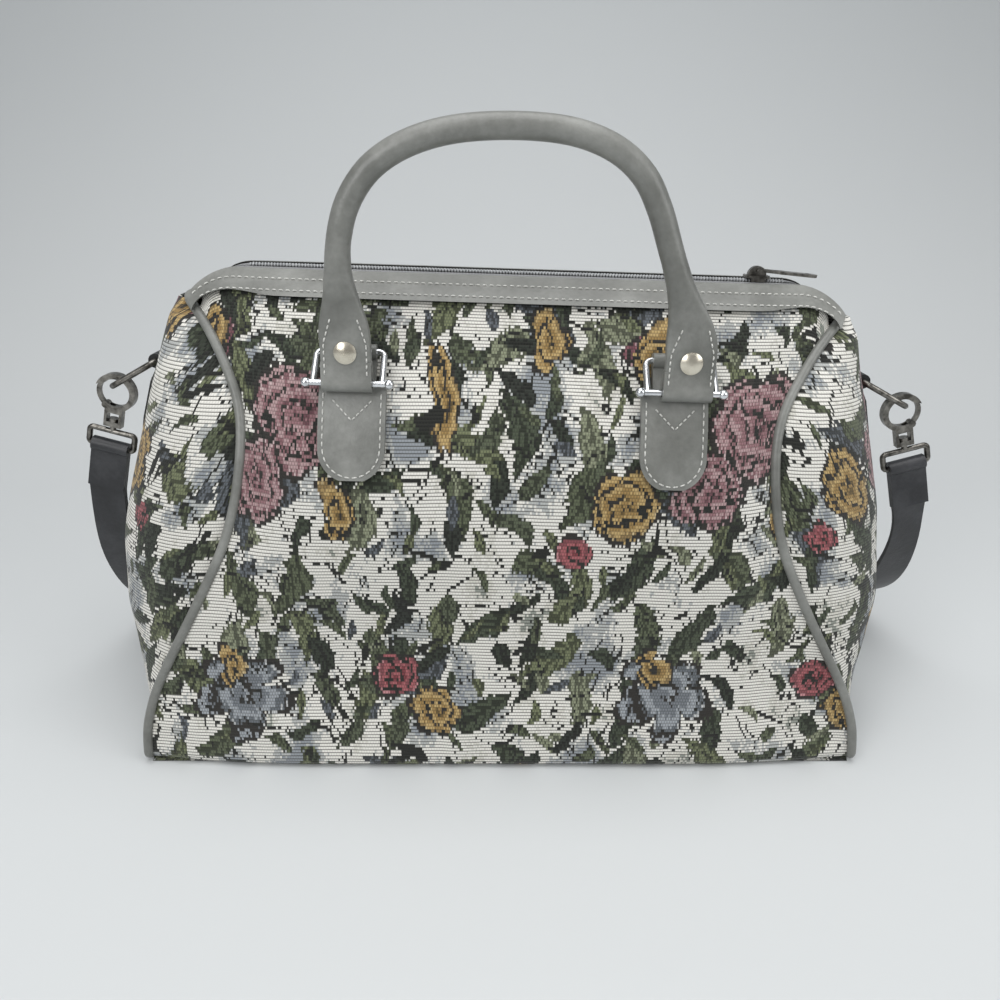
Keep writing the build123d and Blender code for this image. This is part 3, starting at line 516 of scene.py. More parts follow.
# the cloth of an end panel is cut from its own place in the pattern, this far along and down
END_CUT = (330, 250)
END_STRETCH = 1.02


def end_sag(depth, height, share, side):
    """How far an end panel falls in: folds that run level across it, none under its leather tab."""
    calm = 1 - ramp(abs(share), 1 - END_BAND, END_BAND) ** 2
    ends = ramp(height, 4, 20) * ramp(214 - height, 0, 20)
    fall = 0
    for deep, seed, wide, tall, size in END_FOLDS:
        fall += deep * soft_noise(side * seed, depth * wide, height * tall, size)
    reach = hypot(depth / END_TAB_REACH[0], (height - END_TAB_MIDDLE) / END_TAB_REACH[1])
    return max((fall - 1) * calm * ends * ramp(reach, 0.9, 1), LEAST_SAG)


def end_place(side):
    """The place of the points of the left (-1) or right (1) end panel."""

    def place(across, down):
        share = 2 * across - 1
        height = END_HIGH + down * (END_LOW - END_HIGH)
        crown = between(height, END_CROWN)
        seam = between(height, SEAM_HALF_WIDTH)
        depth = between(height, SEAM_DEPTH)
        if height > END_NARROW:
            depth += (END_TOP_DEPTH - depth) * (height - END_NARROW) / (END_HIGH - END_NARROW)
            seam += (END_TOP_ALONG - seam) * (height - END_NARROW) / (END_HIGH - END_NARROW)
        depth -= SEAM_GAP
        along, out, run = strip_point(share, min(END_FLAT, 0.45 * depth), max(crown, seam), depth, seam)
        out -= end_sag(along, height, share, side)
        point = leaned(side * out, along, height)
        return (*point, (run + side * END_CUT[0]) * MM, (height - END_CUT[1]) * END_STRETCH * MM)

    return place


for side, side_name in ((-1, "left"), (1, "right")):
    panel = lay_grid(side_name + "_end_cloth", 58, 92, end_place(side))
    face_outwards(panel, Vector((0, 0, 0.1)))
    thicken(panel)
    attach(panel, "root")
    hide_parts(side_name + "_gusset")
    print(panel.name, len(panel.data.polygons), "faces")

# %% [markdown]
# ## The tapestry
# This is a jacquard weave: thick ivory weft lies in level ribs, bound by fine black warp, and coloured
# threads come up where the flowers are. A flower is a drawing in steps of one thread, so the map is first
# snapped to the threads. Roses, an iris, a tulip and buds are all drawn by one group of nodes, each with its
# own colours, and leaves are scattered. Ribs are then drawn over all of it, as far apart as on the bag.

# %% Thread spacing and flowers, in millimetres
RIB = 1.65
WARP = 0.9
REPEAT = (210.0, 236.0)
BLACK = "#1d1e1c"
IVORY = "#dfddd6"
ROSE = [
    (0.0, "#2a2122"), (0.1, "#644349"), (0.3, "#8c686c"),
    (0.52, "#ab8f90"), (0.72, "#805c61"), (0.86, "#bfa8a8"),
]
GOLD = [
    (0.0, "#2c261b"), (0.12, "#62502f"), (0.3, "#94794a"),
    (0.55, "#b49a68"), (0.75, "#86704a"), (0.88, "#bfab82"),
]
PLUM = [(0.0, "#231b1d"), (0.14, "#5a3a41"), (0.4, "#86585f"), (0.62, "#6d474e"), (0.84, "#ae8f92")]
SLATE = [
    (0.0, "#a58239"), (0.12, "#2c2d2e"), (0.2, "#70757b"),
    (0.5, "#969ba0"), (0.7, "#61666b"), (0.86, "#b9bbbb"),
]
RED = [(0.0, "#2d1a1c"), (0.16, "#77393f"), (0.4, "#9f5c60"), (0.64, "#7d474c"), (0.84, "#b98386")]
# across, down, half width, half height, turn in degrees, petals, how deep the petals are cut, rings, colours
FLOWERS = [
    (-96.0, 66.0, 27.0, 27.0, 20, 5, 0.14, 3.2, ROSE),
    (92.0, 96.0, 20.0, 19.0, 70, 5, 0.16, 2.8, ROSE),
    (55.0, 104.0, 18.0, 20.0, 10, 5, 0.2, 2.4, GOLD),
    (66.0, 31.0, 14.0, 16.0, 40, 5, 0.2, 2.4, PLUM),
    (14.0, 28.0, 11.0, 20.0, 0, 3, 0.45, 1.6, GOLD),
    (-78.0, 108.0, 9.0, 16.0, -12, 3, 0.45, 1.5, GOLD),
    (-52.0, 196.0, 13.0, 13.0, 30, 5, 0.18, 2.2, RED),
    (-33.0, 214.0, 13.0, 14.0, 5, 6, 0.3, 2.0, GOLD),
    (32.0, 127.0, 8.0, 9.0, 0, 4, 0.2, 1.8, RED),
    (-129.0, 206.0, 27.0, 25.0, 15, 5, 0.62, 1.3, SLATE),
    (-134.0, 190.0, 9.0, 15.0, 0, 3, 0.5, 1.2, GOLD),
    (-32.0, 56.0, 7.0, 40.0, -8, 2, 0.5, 1.0, GOLD),
    (-144.0, 30.0, 10.0, 20.0, 15, 3, 0.4, 1.4, GOLD),
]
print("flowers in one repeat", len(FLOWERS))


# %% One woven flower
def make_flower_group():
    """Nodes that draw one flower: inside or not, how far out, and the dark lines between its petals."""
    group = bpy.data.node_groups.new("woven_flower", "ShaderNodeTree")
    face = group.interface
    face.new_socket("Place", in_out="INPUT", socket_type="NodeSocketVector")
    for name in ("Petals", "Cut", "Rings", "Mottle"):
        face.new_socket(name, in_out="INPUT", socket_type="NodeSocketFloat")
    for name in ("Inside", "Shade", "Line"):
        face.new_socket(name, in_out="OUTPUT", socket_type="NodeSocketFloat")
    start = group.nodes.new("NodeGroupInput").outputs
    axes = add(group, "SeparateXYZ", None, start["Place"]).outputs
    reach = add(group, "VectorMath", {"operation": "LENGTH"}, start["Place"]).outputs["Value"]
    angle = add(group, "Math", {"operation": "ARCTAN2"}, axes["Y"], axes["X"])
    half = add(group, "Math", {"operation": "MULTIPLY"}, start["Petals"], 0.5)
    swing = add(group, "Math", {"operation": "MULTIPLY"}, angle, half)
    wave = add(group, "Math", {"operation": "ABSOLUTE"}, add(group, "Math", {"operation": "COSINE"}, swing))
    lobe = add(group, "Math", {"operation": "POWER"}, wave, 0.6)
    dip = add(group, "Math", {"operation": "SUBTRACT"}, 1.0, lobe)
    loss = add(group, "Math", {"operation": "MULTIPLY"}, dip, start["Cut"])
    edge = add(group, "Math", {"operation": "SUBTRACT"}, 1.0, loss)
    ratio = add(group, "Math", {"operation": "DIVIDE"}, reach, edge)
    ragged = add(group, "Math", {"operation": "ADD"}, ratio, start["Mottle"])
    inside = add(group, "Math", {"operation": "LESS_THAN"}, ragged, 1.0)
    turns = add(group, "Math", {"operation": "MULTIPLY_ADD"}, angle, 1 / (2 * pi), None)
    spiral = add(group, "Math", {"operation": "MULTIPLY_ADD"}, ragged, start["Rings"], turns)
    ruffle = add(group, "Math", {"operation": "MULTIPLY_ADD"}, wave, 0.45, spiral)
    ring = add(group, "Math", {"operation": "FRACT"}, ruffle)
    thin = add(group, "Math", {"operation": "LESS_THAN"}, ring, 0.2)
    rim = add(group, "Math", {"operation": "GREATER_THAN"}, ragged, 0.9)
    line = add(group, "Math", {"operation": "MAXIMUM"}, thin, rim)
    outward = add(group, "Math", {"operation": "MULTIPLY"}, ragged, 0.5)
    tone = add(group, "Math", {"operation": "MULTIPLY_ADD"}, ring, 0.5, outward)
    finish = group.nodes.new("NodeGroupOutput").inputs
    group.links.new(inside.outputs[0], finish["Inside"])
    group.links.new(tone.outputs[0], finish["Shade"])
    group.links.new(line.outputs[0], finish["Line"])
    return group


flower_group = make_flower_group()
print("flower group", len(flower_group.nodes), "nodes")


# %% Leaves, in millimetres
OLIVE = [(0.0, "#59604a"), (0.3, "#6f7558"), (0.5, "#464e3e"), (0.72, "#868b73"), (0.88, "#5f646a")]
FOREST = [(0.0, "#2f352c"), (0.35, "#3f4739"), (0.6, "#555c49"), (0.82, "#2b2f2a")]
# distance between leaves, half length, seed, colours, and how many of the places hold a leaf
LEAVES = [(33.0, 21.0, 11.0, OLIVE, 0.8), (22.0, 13.0, 57.0, FOREST, 0.62), (15.0, 8.0, 123.0, OLIVE, 0.55)]


def leaf_layer(tree, place, cell, size, seed, tones, picture, mottle, amount):
    """Scatter leaves over the picture: one in each cell, turned and coloured by chance."""
    shifted = add(tree, "VectorMath", {"operation": "ADD"}, place, (seed, seed * 0.37, 0.0))
    scatter = {"voronoi_dimensions": "2D", "Scale": 1 / cell, "Randomness": 0.9}
    cells = add(tree, "TexVoronoi", scatter, shifted)
    chance = add(tree, "SeparateXYZ", None, cells.outputs["Color"]).outputs
    offset = add(tree, "VectorMath", {"operation": "SUBTRACT"}, shifted, cells.outputs["Position"])
    turn = add(tree, "Math", {"operation": "MULTIPLY_ADD"}, chance["X"], 2.4, 0.4)
    local = add(tree, "VectorRotate", {"rotation_type": "Z_AXIS", "Angle": turn}, offset)
    unit = add(tree, "VectorMath", {"operation": "SCALE", "Scale": 1 / size}, local)
    axes = add(tree, "SeparateXYZ", None, unit).outputs
    square = add(tree, "Math", {"operation": "MULTIPLY"}, axes["X"], axes["X"])
    bend = add(tree, "Math", {"operation": "MULTIPLY_ADD"}, square, 0.25, axes["Y"])
    side = add(tree, "Math", {"operation": "ABSOLUTE"}, bend)
    width = add(tree, "Math", {"operation": "MULTIPLY_ADD"}, square, -0.31, 0.31)
    fall = add(tree, "Math", {"operation": "SUBTRACT"}, width, side)
    rough = add(tree, "Math", {"operation": "ADD"}, fall, mottle)
    inside = add(tree, "Math", {"operation": "GREATER_THAN"}, rough, 0.0)
    shown = add(tree, "Math", {"operation": "LESS_THAN"}, chance["Y"], amount)
    mask = add(tree, "Math", {"operation": "MULTIPLY"}, inside, shown)
    vein = add(tree, "Math", {"operation": "LESS_THAN"}, side, 0.035)
    ribs = add(tree, "Math", {"operation": "MULTIPLY_ADD"}, side, 1.6, axes["X"])
    teeth = add(tree, "Math", {"operation": "FRACT"}, add(tree, "Math", {"operation": "MULTIPLY"}, ribs, 3.4))
    dark = add(tree, "Math", {"operation": "LESS_THAN"}, teeth, 0.3)
    edge = add(tree, "Math", {"operation": "LESS_THAN"}, rough, 0.05)
    drawn = add(tree, "Math", {"operation": "MAXIMUM"}, vein, edge)
    lines = add(tree, "Math", {"operation": "MAXIMUM"}, drawn, dark)
    hue = bands(tree, chance["Z"], tones, smooth=False)
    deep = add(tree, "MixRGB", {"blend_type": "MULTIPLY"}, 0.7, hue, linear("#3c3e36"))
    leaf = add(tree, "MixRGB", None, lines, hue, deep)
    return add(tree, "MixRGB", None, mask, picture, leaf), mask


print("leaf layers", len(LEAVES))

# %% The tapestry material


def make_tapestry():
    """The woven cloth of the bag."""
    material, tree = new_finish("jacquard_tapestry")
    where = add(tree, "UVMap", {"uv_map": "weave"})
    flat = add(tree, "VectorMath", {"operation": "MULTIPLY"}, where, (1000.0, -1000.0, 0.0))
    half = add(tree, "VectorMath", {"operation": "SNAP"}, flat, (WARP, RIB, 1.0))
    thread = add(tree, "VectorMath", {"operation": "ADD"}, half, (WARP / 2, RIB / 2, 0.0))
    drift = add(tree, "TexNoise", {"noise_dimensions": "2D", "Scale": 0.045, "Detail": 2.0}, thread)
    centred = add(tree, "VectorMath", {"operation": "SUBTRACT"}, drift.outputs["Color"], (0.5, 0.5, 0.5))
    moved = add(tree, "VectorMath", {"operation": "MULTIPLY_ADD"}, centred, (13.0, 13.0, 0.0), thread)
    grit = add(tree, "TexWhiteNoise", {"noise_dimensions": "2D"}, thread)
    mottle = add(tree, "Math", {"operation": "MULTIPLY_ADD"}, grit, 0.1, -0.05)

    blot = add(tree, "TexNoise", {"noise_dimensions": "2D", "Scale": 0.035, "Detail": 3.0}, moved)
    picture = bands(
        tree,
        add(tree, "Math", {"operation": "ADD"}, blot, mottle),
        [(0.0, "#8c9196"), (0.33, "#aeb0ae"), (0.42, IVORY), (0.64, "#cfcdc4"), (0.72, "#8b8f87")],
        smooth=False,
    )

    coloured = 0.0
    for cell, size, seed, tones, amount in LEAVES:
        picture, mask = leaf_layer(tree, moved, cell, size, seed, tones, picture, mottle, amount)
        coloured = add(tree, "Math", {"operation": "MAXIMUM"}, coloured, mask)

    for across, down, wide, high, turn, petals, cut, rings, colours in FLOWERS:
        local = add(tree, "VectorMath", {"operation": "SUBTRACT"}, moved, (across, down, 0.0))
        limits = [(side * REPEAT[0] / 2, side * REPEAT[1] / 2, side * 1.0) for side in (1, -1)]
        tiled = add(tree, "VectorMath", {"operation": "WRAP"}, local, *limits)
        placed = add(
            tree,
            "Mapping",
            {"vector_type": "TEXTURE", "Rotation": (0, 0, radians(turn)), "Scale": (wide, high, 1.0)},
            tiled,
        )
        flower = tree.nodes.new("ShaderNodeGroup")
        flower.node_tree = flower_group
        tree.links.new(placed.outputs[0], flower.inputs["Place"])
        tree.links.new(mottle.outputs[0], flower.inputs["Mottle"])
        flower.inputs["Petals"].default_value = petals
        flower.inputs["Cut"].default_value = cut
        flower.inputs["Rings"].default_value = rings
        tones = bands(tree, flower.outputs["Shade"], colours, smooth=False)
        drawn = add(tree, "MixRGB", None, flower.outputs["Line"], tones, linear("#2b2826"))
        picture = add(tree, "MixRGB", None, flower.outputs["Inside"], picture, drawn)
        coloured = add(tree, "Math", {"operation": "MAXIMUM"}, coloured, flower.outputs["Inside"])

    vines = {"noise_dimensions": "2D", "Scale": 0.05, "Detail": 2.5, "Distortion": 0.6}
    tangle = add(tree, "TexNoise", vines, moved)
    level = add(tree, "Math", {"operation": "SUBTRACT"}, tangle, 0.5)
    away = add(tree, "Math", {"operation": "ABSOLUTE"}, level)
    near = add(tree, "Math", {"operation": "LESS_THAN"}, away, 0.011)
    picture = add(tree, "MixRGB", None, near, picture, linear(BLACK))
    coloured = add(tree, "Math", {"operation": "MAXIMUM"}, coloured, near)

    axes = add(tree, "SeparateXYZ", None, flat).outputs
    row = add(tree, "Math", {"operation": "MULTIPLY"}, axes["Y"], 1 / RIB)
    rib = add(tree, "Math", {"operation": "FRACT"}, row)
    gap = add(tree, "Math", {"operation": "LESS_THAN"}, rib, 0.3)
    brick = add(tree, "Math", {"operation": "MULTIPLY"}, add(tree, "Math", {"operation": "FLOOR"}, row), 0.5)
    column = add(tree, "Math", {"operation": "MULTIPLY_ADD"}, axes["X"], 1 / (1.5 * WARP), brick)
    across = add(tree, "Math", {"operation": "FRACT"}, column)
    bind = add(tree, "Math", {"operation": "LESS_THAN"}, across, 0.3)
    darker = add(tree, "Math", {"operation": "MULTIPLY_ADD"}, coloured, 0.3, 0.16)
    bound = add(tree, "Math", {"operation": "MULTIPLY"}, bind, darker)
    # The dark line between ribs is partly black warp and partly painted shade in the groove, less dark over
    # coloured threads.
    groove_shade_and_warp = add(tree, "Math", {"operation": "MULTIPLY_ADD"}, coloured, -0.3, 0.78)
    cut = add(tree, "Math", {"operation": "MULTIPLY"}, gap, groove_shade_and_warp)
    depth = add(tree, "Math", {"operation": "MAXIMUM"}, cut, bound)
    woven = add(tree, "MixRGB", None, depth, picture, linear("#24251f"))

    swell = add(tree, "Math", {"operation": "SINE"}, add(tree, "Math", {"operation": "MULTIPLY"}, rib, pi))
    sink = add(tree, "Math", {"operation": "MULTIPLY"}, bind, 0.4)
    height = add(tree, "Math", {"operation": "SUBTRACT"}, swell, sink)
    bump = add(tree, "Bump", {"Strength": 0.5, "Distance": 0.0004, "Height": height})
    yarn = {"Roughness": 0.85, "Sheen Weight": 0.15, "Specular IOR Level": 0.3}
    finish_with(tree, add(tree, "BsdfPrincipled", {"Base Color": woven, "Normal": bump, **yarn}))
    print("tapestry", len(tree.nodes), "nodes")
    return material


tapestry = make_tapestry()
for piece in (wrap, bpy.data.objects["left_end_cloth"], bpy.data.objects["right_end_cloth"]):
    piece.data.materials.clear()
    piece.data.materials.append(tapestry)


# %% [markdown]
# ## Leather
# The trim is split leather with a grey coated face: fine pebble grain, a few creases, and a low satin shine.
# Its tone wanders a little. The paint on the end tabs' cut edges is nearly black, and the strap is painted
# nearly black as painted shade.

# %% Leather finishes, with the pebbles' size in millimetres
GRAIN = 1.1


def make_leather(name, tone, light, dark, roughness, edge=None, edge_axis=None):
    """Coated leather: mottled, with pebble grain and creases. An edge colour goes where faces turn away."""
    material, tree = new_finish(name)
    place = add(tree, "TexCoord").outputs
    blotch = add(tree, "TexNoise", {"Scale": 38.0, "Detail": 4.0, "Roughness": 0.55}, place["Object"])
    fine = add(tree, "TexNoise", {"Scale": 420.0, "Detail": 3.0}, place["Object"])
    blend = add(tree, "Math", {"operation": "MULTIPLY_ADD"}, fine, 0.25, blotch)
    colour = bands(tree, blend, [(0.38, dark), (0.6, tone), (0.86, light)])
    if edge:
        turned = add(tree, "SeparateXYZ", None, place["Normal"]).outputs[edge_axis]
        flatness = add(tree, "Math", {"operation": "ABSOLUTE"}, turned)
        cut = add(tree, "Math", {"operation": "LESS_THAN"}, flatness, 0.45)
        colour = add(tree, "MixRGB", None, cut, colour, linear(edge))
    pebbles = {"feature": "SMOOTH_F1", "Scale": 1 / (GRAIN * MM), "Smoothness": 0.4}
    pebble = add(tree, "TexVoronoi", pebbles, place["Object"])
    creases = {"Scale": 95.0, "Detail": 6.0, "Roughness": 0.7, "Distortion": 1.2}
    crease = add(tree, "TexNoise", creases, place["Object"])
    relief = add(tree, "Math", {"operation": "MULTIPLY_ADD"}, pebble.outputs["Distance"], 0.35, crease)
    bump = add(tree, "Bump", {"Strength": 0.3, "Distance": 0.0005, "Height": relief})
    shine = add(tree, "MapRange", {"To Min": roughness - 0.08, "To Max": roughness + 0.12}, blotch)
    coat = {"Base Color": colour, "Roughness": shine, "Normal": bump, "IOR": 1.48}
    finish_with(tree, add(tree, "BsdfPrincipled", coat))
    return material


grey_leather = make_leather("coated_grey_leather", "#6e6f6b", "#858682", "#5d5e5a", 0.34)
tab_leather = make_leather(
    "grey_leather_black_edge", "#6e6f6b", "#828380", "#5d5e5a", 0.34, edge="#161616", edge_axis="X"
)
# The strap is painted nearly black: painted shade.
strap_leather_painted_shade = make_leather("strap_painted_dark_as_shade", "#26272a", "#3c3d40", "#17181a", 0.38)
print("leathers", grey_leather.name, tab_leather.name, strap_leather_painted_shade.name)


# %% [markdown]
# ## Metal
# The handle rings are bright chrome plate. The D-rings, hooks and the zip slider have an antique silver
# finish: plated, blackened and rubbed back unevenly. The rivets are plated in pale champagne.

# %% Metal finishes
def make_metal(name, bright, dull, roughness, wear):
    """Plated metal whose tone and shine wander a little, as rubbed plate does."""
    material, tree = new_finish(name)
    place = add(tree, "TexCoord").outputs["Object"]
    rub = add(tree, "TexNoise", {"Scale": wear, "Detail": 4.0, "Roughness": 0.6}, place)
    colour = bands(tree, rub, [(0.35, dull), (0.62, bright)])
    shine = add(tree, "MapRange", {"To Min": roughness, "To Max": roughness + 0.16}, rub)
    scuff = add(tree, "TexNoise", {"Scale": 900.0, "Detail": 2.0}, place)
    bump = add(tree, "Bump", {"Strength": 0.08, "Distance": 0.0002, "Height": scuff})
    plate = {"Base Color": colour, "Metallic": 1.0, "Roughness": shine, "Normal": bump}
    finish_with(tree, add(tree, "BsdfPrincipled", plate))
    return material


chrome_plate = make_metal("chrome_plate", "#e3e5e8", "#c4c7cb", 0.08, 60.0)
antique_silver = make_metal("antique_silver", "#8f8c86", "#4b4945", 0.24, 220.0)
champagne_plate = make_metal("champagne_plate", "#d9d3c4", "#bfb8a8", 0.2, 120.0)
print("metals", chrome_plate.name, antique_silver.name, champagne_plate.name)


# %% Zip tape and board finishes, in metres
TAPE_RIB = 0.0008
TAPE_ZIGZAG = 0.0012


def make_zip_tape():
    """Polyester zip tape: a tight herringbone of fine ribs."""
    material, tree = new_finish("woven_zip_tape")
    place = add(tree, "TexCoord").outputs["Object"]
    axes = add(tree, "SeparateXYZ", None, place).outputs
    zigzag = add(tree, "Math", {"operation": "PINGPONG"}, axes["Y"], TAPE_ZIGZAG)
    slant = add(tree, "Math", {"operation": "ADD"}, axes["X"], zigzag)
    turns = add(tree, "Math", {"operation": "MULTIPLY"}, slant, 2 * pi / TAPE_RIB)
    wave = add(tree, "Math", {"operation": "SINE"}, turns)
    painted_rib_light_and_shade = add(tree, "Math", {"operation": "MULTIPLY_ADD"}, wave, 0.5, 0.5)
    # Rib crests are painted lighter and troughs darker: painted light and shade.
    tone = bands(tree, painted_rib_light_and_shade, [(0.0, "#77787a"), (1.0, "#9b9c9e")])
    bump = add(tree, "Bump", {"Strength": 0.5, "Distance": 0.0002, "Height": wave})
    finish_with(tree, add(tree, "BsdfPrincipled", {"Base Color": tone, "Roughness": 0.8, "Normal": bump}))
    return material


def make_board():
    """Grey pressed board with flecks of fibre."""
    material, tree = new_finish("pressed_board")
    place = add(tree, "TexCoord").outputs["Object"]
    flecks = add(tree, "TexNoise", {"Scale": 260.0, "Detail": 5.0}, place)
    tone = bands(tree, flecks, [(0.3, "#6c6a64"), (0.7, "#8b8981")])
    bump = add(tree, "Bump", {"Strength": 0.2, "Distance": 0.0003, "Height": flecks})
    finish_with(tree, add(tree, "BsdfPrincipled", {"Base Color": tone, "Roughness": 0.9, "Normal": bump}))
    return material


zip_tape = make_zip_tape()
board = make_board()
print("zip tape and board", zip_tape.name, board.name)


# %% Put the finishes on the model's pieces
FINISHES = {
    "piping": grey_leather,
    "trim": grey_leather,
    "chape": grey_leather,
    "end_tab": tab_leather,
    "zip_tape": zip_tape,
    "base_board": board,
    "zip_slider": antique_silver,
    "zip_pull": antique_silver,
    "d_ring": antique_silver,
    "snap_hook": antique_silver,
    "snap_gate": antique_silver,
    "swivel_eye": antique_silver,
    "rivet": champagne_plate,
    "ring": chrome_plate,
    "shoulder_strap": strap_leather_painted_shade,
}
for name, piece in nodes.items():
    ending = next((end for end in FINISHES if name.endswith(end)), None)
    if ending:
        piece.data.materials.clear()
        piece.data.materials.append(FINISHES[ending])
print("finished", sorted(set(FINISHES)))

# %% [markdown]
# ## Handles
# Each handle is one strip of leather, rolled round a cord and sewn shut. It flattens into a tab at both ends,
# which folds round its ring and is riveted. It is rolled by hand, so it leans a little to one side. A swept
# circle could not flatten, so one cross-section is carried along a line and changes from a flat tab into a
# round roll. The fold round the ring is a second shell that ends inside the tab.

# %% Line and cross-sections of a handle, in millimetres from the rings' lower bars
HANDLE_LINE = [
    (-75.0, 8.5), (-75.2, 20.0), (-76.0, 34.0), (-76.8, 48.0), (-75.6, 62.0), (-71.0, 76.0), (-61.5, 88.5),
    (-47.0, 97.5), (-28.0, 103.0), (-4.0, 104.9), (18.0, 103.4), (35.0, 97.8), (47.0, 88.6), (54.5, 76.5),
    (60.5, 62.0), (66.8, 46.0), (72.2, 31.0), (74.8, 19.0), (75.0, 8.5),
]
TAB_HALF_WIDTH = 11.0
TAB_HALF_THICK = 2.3
# distance along the leather from its tab end, half width, half thickness, and how square the corners are
HANDLE_SECTIONS = [
    (0.0, TAB_HALF_WIDTH, TAB_HALF_THICK, 7.0),
    (14.0, TAB_HALF_WIDTH, TAB_HALF_THICK, 7.0),
    (19.0, 10.2, 2.5, 5.0),
    (25.0, 8.6, 3.1, 3.4),
    (32.0, 6.9, 4.0, 2.5),
    (40.0, 5.7, 4.8, 2.1),
    (50.0, 5.2, 5.2, 2.0),
]
HANDLE_STEP = 2.5
HANDLE_FACETS = 28
BAR_OUT = 62.43
BAR_HEIGHT = 194.41
TAB_ENDS = (-75.0, 75.0)
HANDLE_SWING = {-1: 0.0, 1: 146.0}
# the fold round the bar: its radii, how far it wraps past a half turn, and its corners as (out, up)
FOLD_OUT = 3.6
FOLD_IN = 1.75
FOLD_WRAP = 0.35
FOLD_MARKS = 17
FOLD_SIDE = (2.6, 7.0)
FOLD_TOP = (TAB_HALF_THICK, 10.0)
FOLD_SLIT = (0.4, 5.0)


def handle_point(face, along, out, up):
    """A point of a handle, which stands or lies at its resting angle, in metres."""
    swing = radians(HANDLE_SWING[face])
    y = face * (BAR_OUT + out * cos(swing) + up * sin(swing))
    return upper(along, y, BAR_HEIGHT + up * cos(swing) - out * sin(swing))


print("front ring's bar", tuple(round(value, 4) for value in handle_point(-1, 0, 0, 0)))


# %% Curve and tube helpers
def smooth_line(marks, step):
    """Points at even steps along a smooth curve through the marks."""
    fine = []
    for i in range(len(marks) - 1):
        a, b, c, d = (np.array(marks[min(max(i + k, 0), len(marks) - 1)]) for k in (-1, 0, 1, 2))
        for t in np.linspace(0, 1, 12, endpoint=False):
            bend = (2 * a - 5 * b + 4 * c - d) * t**2 + (3 * b - a - 3 * c + d) * t**3
            fine.append((2 * b + (c - a) * t + bend) / 2)
    fine.append(np.array(marks[-1]))
    run = np.concatenate([[0], np.cumsum([np.linalg.norm(q - p) for p, q in zip(fine, fine[1:])])])
    steps = np.linspace(0, run[-1], int(run[-1] / step) + 1)
    table = np.array(fine)
    return [(np.interp(s, run, table[:, 0]), np.interp(s, run, table[:, 1])) for s in steps], steps


def tube_faces(start, rings, facets):
    """Faces of a tube of rings of points, closed at both ends."""
    faces = []
    for ring in range(rings - 1):
        low, high = start + ring * facets, start + (ring + 1) * facets
        for k in range(facets):
            after = (k + 1) % facets
            faces.append([low + k, low + after, high + after, high + k])
    last = start + (rings - 1) * facets
    return faces + [[start + k for k in reversed(range(facets))], [last + k for k in range(facets)]]


def add_piece(name, spots, faces, material):
    """A new piece from points and faces, with every face turned outwards."""
    mesh = bpy.data.meshes.new(name)
    mesh.from_pydata(spots, [], faces)
    mesh.materials.append(material)
    piece = bpy.data.objects.new(name, mesh)
    bpy.context.scene.collection.objects.link(piece)
    bpy.ops.object.select_all(action="DESELECT")
    piece.select_set(True)
    bpy.context.view_layer.objects.active = piece
    bpy.ops.object.mode_set(mode="EDIT")
    bpy.ops.mesh.select_all(action="SELECT")
    bpy.ops.mesh.normals_make_consistent(inside=False)
    bpy.ops.object.mode_set(mode="OBJECT")
    return piece


print("handle line", len(smooth_line(HANDLE_LINE, HANDLE_STEP)[0]), "cross-sections")


# %% The roll and its tabs
def roll_points(face):
    """The rings of points of the roll, from the left tab to the right tab."""
    spots = []
    line, steps = smooth_line(HANDLE_LINE, HANDLE_STEP)
    distances, halves, depths, corners = zip(*HANDLE_SECTIONS)
    for i, (x, z) in enumerate(line):
        before, after = line[max(i - 1, 0)], line[min(i + 1, len(line) - 1)]
        length = hypot(after[0] - before[0], after[1] - before[1])
        side_x, side_z = (after[1] - before[1]) / length, -(after[0] - before[0]) / length
        from_end = min(steps[i], steps[-1] - steps[i])
        half = np.interp(from_end, distances, halves)
        depth = np.interp(from_end, distances, depths)
        power = 2 / np.interp(from_end, distances, corners)
        for k in range(HANDLE_FACETS):
            a = 2 * pi * (k + 0.5) / HANDLE_FACETS
            wide = half * abs(cos(a)) ** power * (1 if cos(a) > 0 else -1)
            deep = depth * abs(sin(a)) ** power * (1 if sin(a) > 0 else -1)
            spots.append(handle_point(face, x + side_x * wide, deep, z + side_z * wide))
    return spots


def fold_outline():
    """The leather that folds round the ring's bar, seen along the bar: down, round, up, and back inside."""
    turns = np.linspace(pi - FOLD_WRAP, 2 * pi + FOLD_WRAP, FOLD_MARKS)
    outline = [(-FOLD_TOP[0], FOLD_TOP[1]), (-FOLD_SIDE[0], FOLD_SIDE[1])]
    outline += [(FOLD_OUT * cos(a), FOLD_OUT * sin(a)) for a in turns]
    outline += [FOLD_SIDE, FOLD_TOP, (FOLD_SLIT[0], FOLD_TOP[1]), FOLD_SLIT]
    outline += [(FOLD_IN * cos(a), FOLD_IN * sin(a)) for a in turns[::-1]]
    return outline + [(-FOLD_SLIT[0], FOLD_SLIT[1]), (-FOLD_SLIT[0], FOLD_TOP[1])]


def make_handle(face, name):
    """A rolled handle with a flat tab folded round the ring at each end."""
    spots = roll_points(face)
    faces = tube_faces(0, len(spots) // HANDLE_FACETS, HANDLE_FACETS)
    outline = fold_outline()
    size = len(outline)
    for place in TAB_ENDS:
        start = len(spots)
        for edge in (-TAB_HALF_WIDTH, TAB_HALF_WIDTH):
            spots += [handle_point(face, place + edge, out, up) for out, up in outline]
        for k in range(size):
            after = (k + 1) % size
            faces.append([start + k, start + after, start + size + after, start + size + k])
        for base in (start, start + size):
            for k in range(size // 2 - 1):
                faces.append([base + k, base + k + 1, base + size - 2 - k, base + size - 1 - k])
    piece = add_piece(name, spots, faces, grey_leather)
    bpy.ops.object.shade_smooth_by_angle(angle=radians(40))
    return piece


for face, face_name in ((-1, "front"), (1, "back")):
    roll = make_handle(face, face_name + "_rolled_handle")
    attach(roll, face_name + "_handle")
    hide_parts(face_name + "_handle")
    print(roll.name, len(roll.data.polygons), "faces")

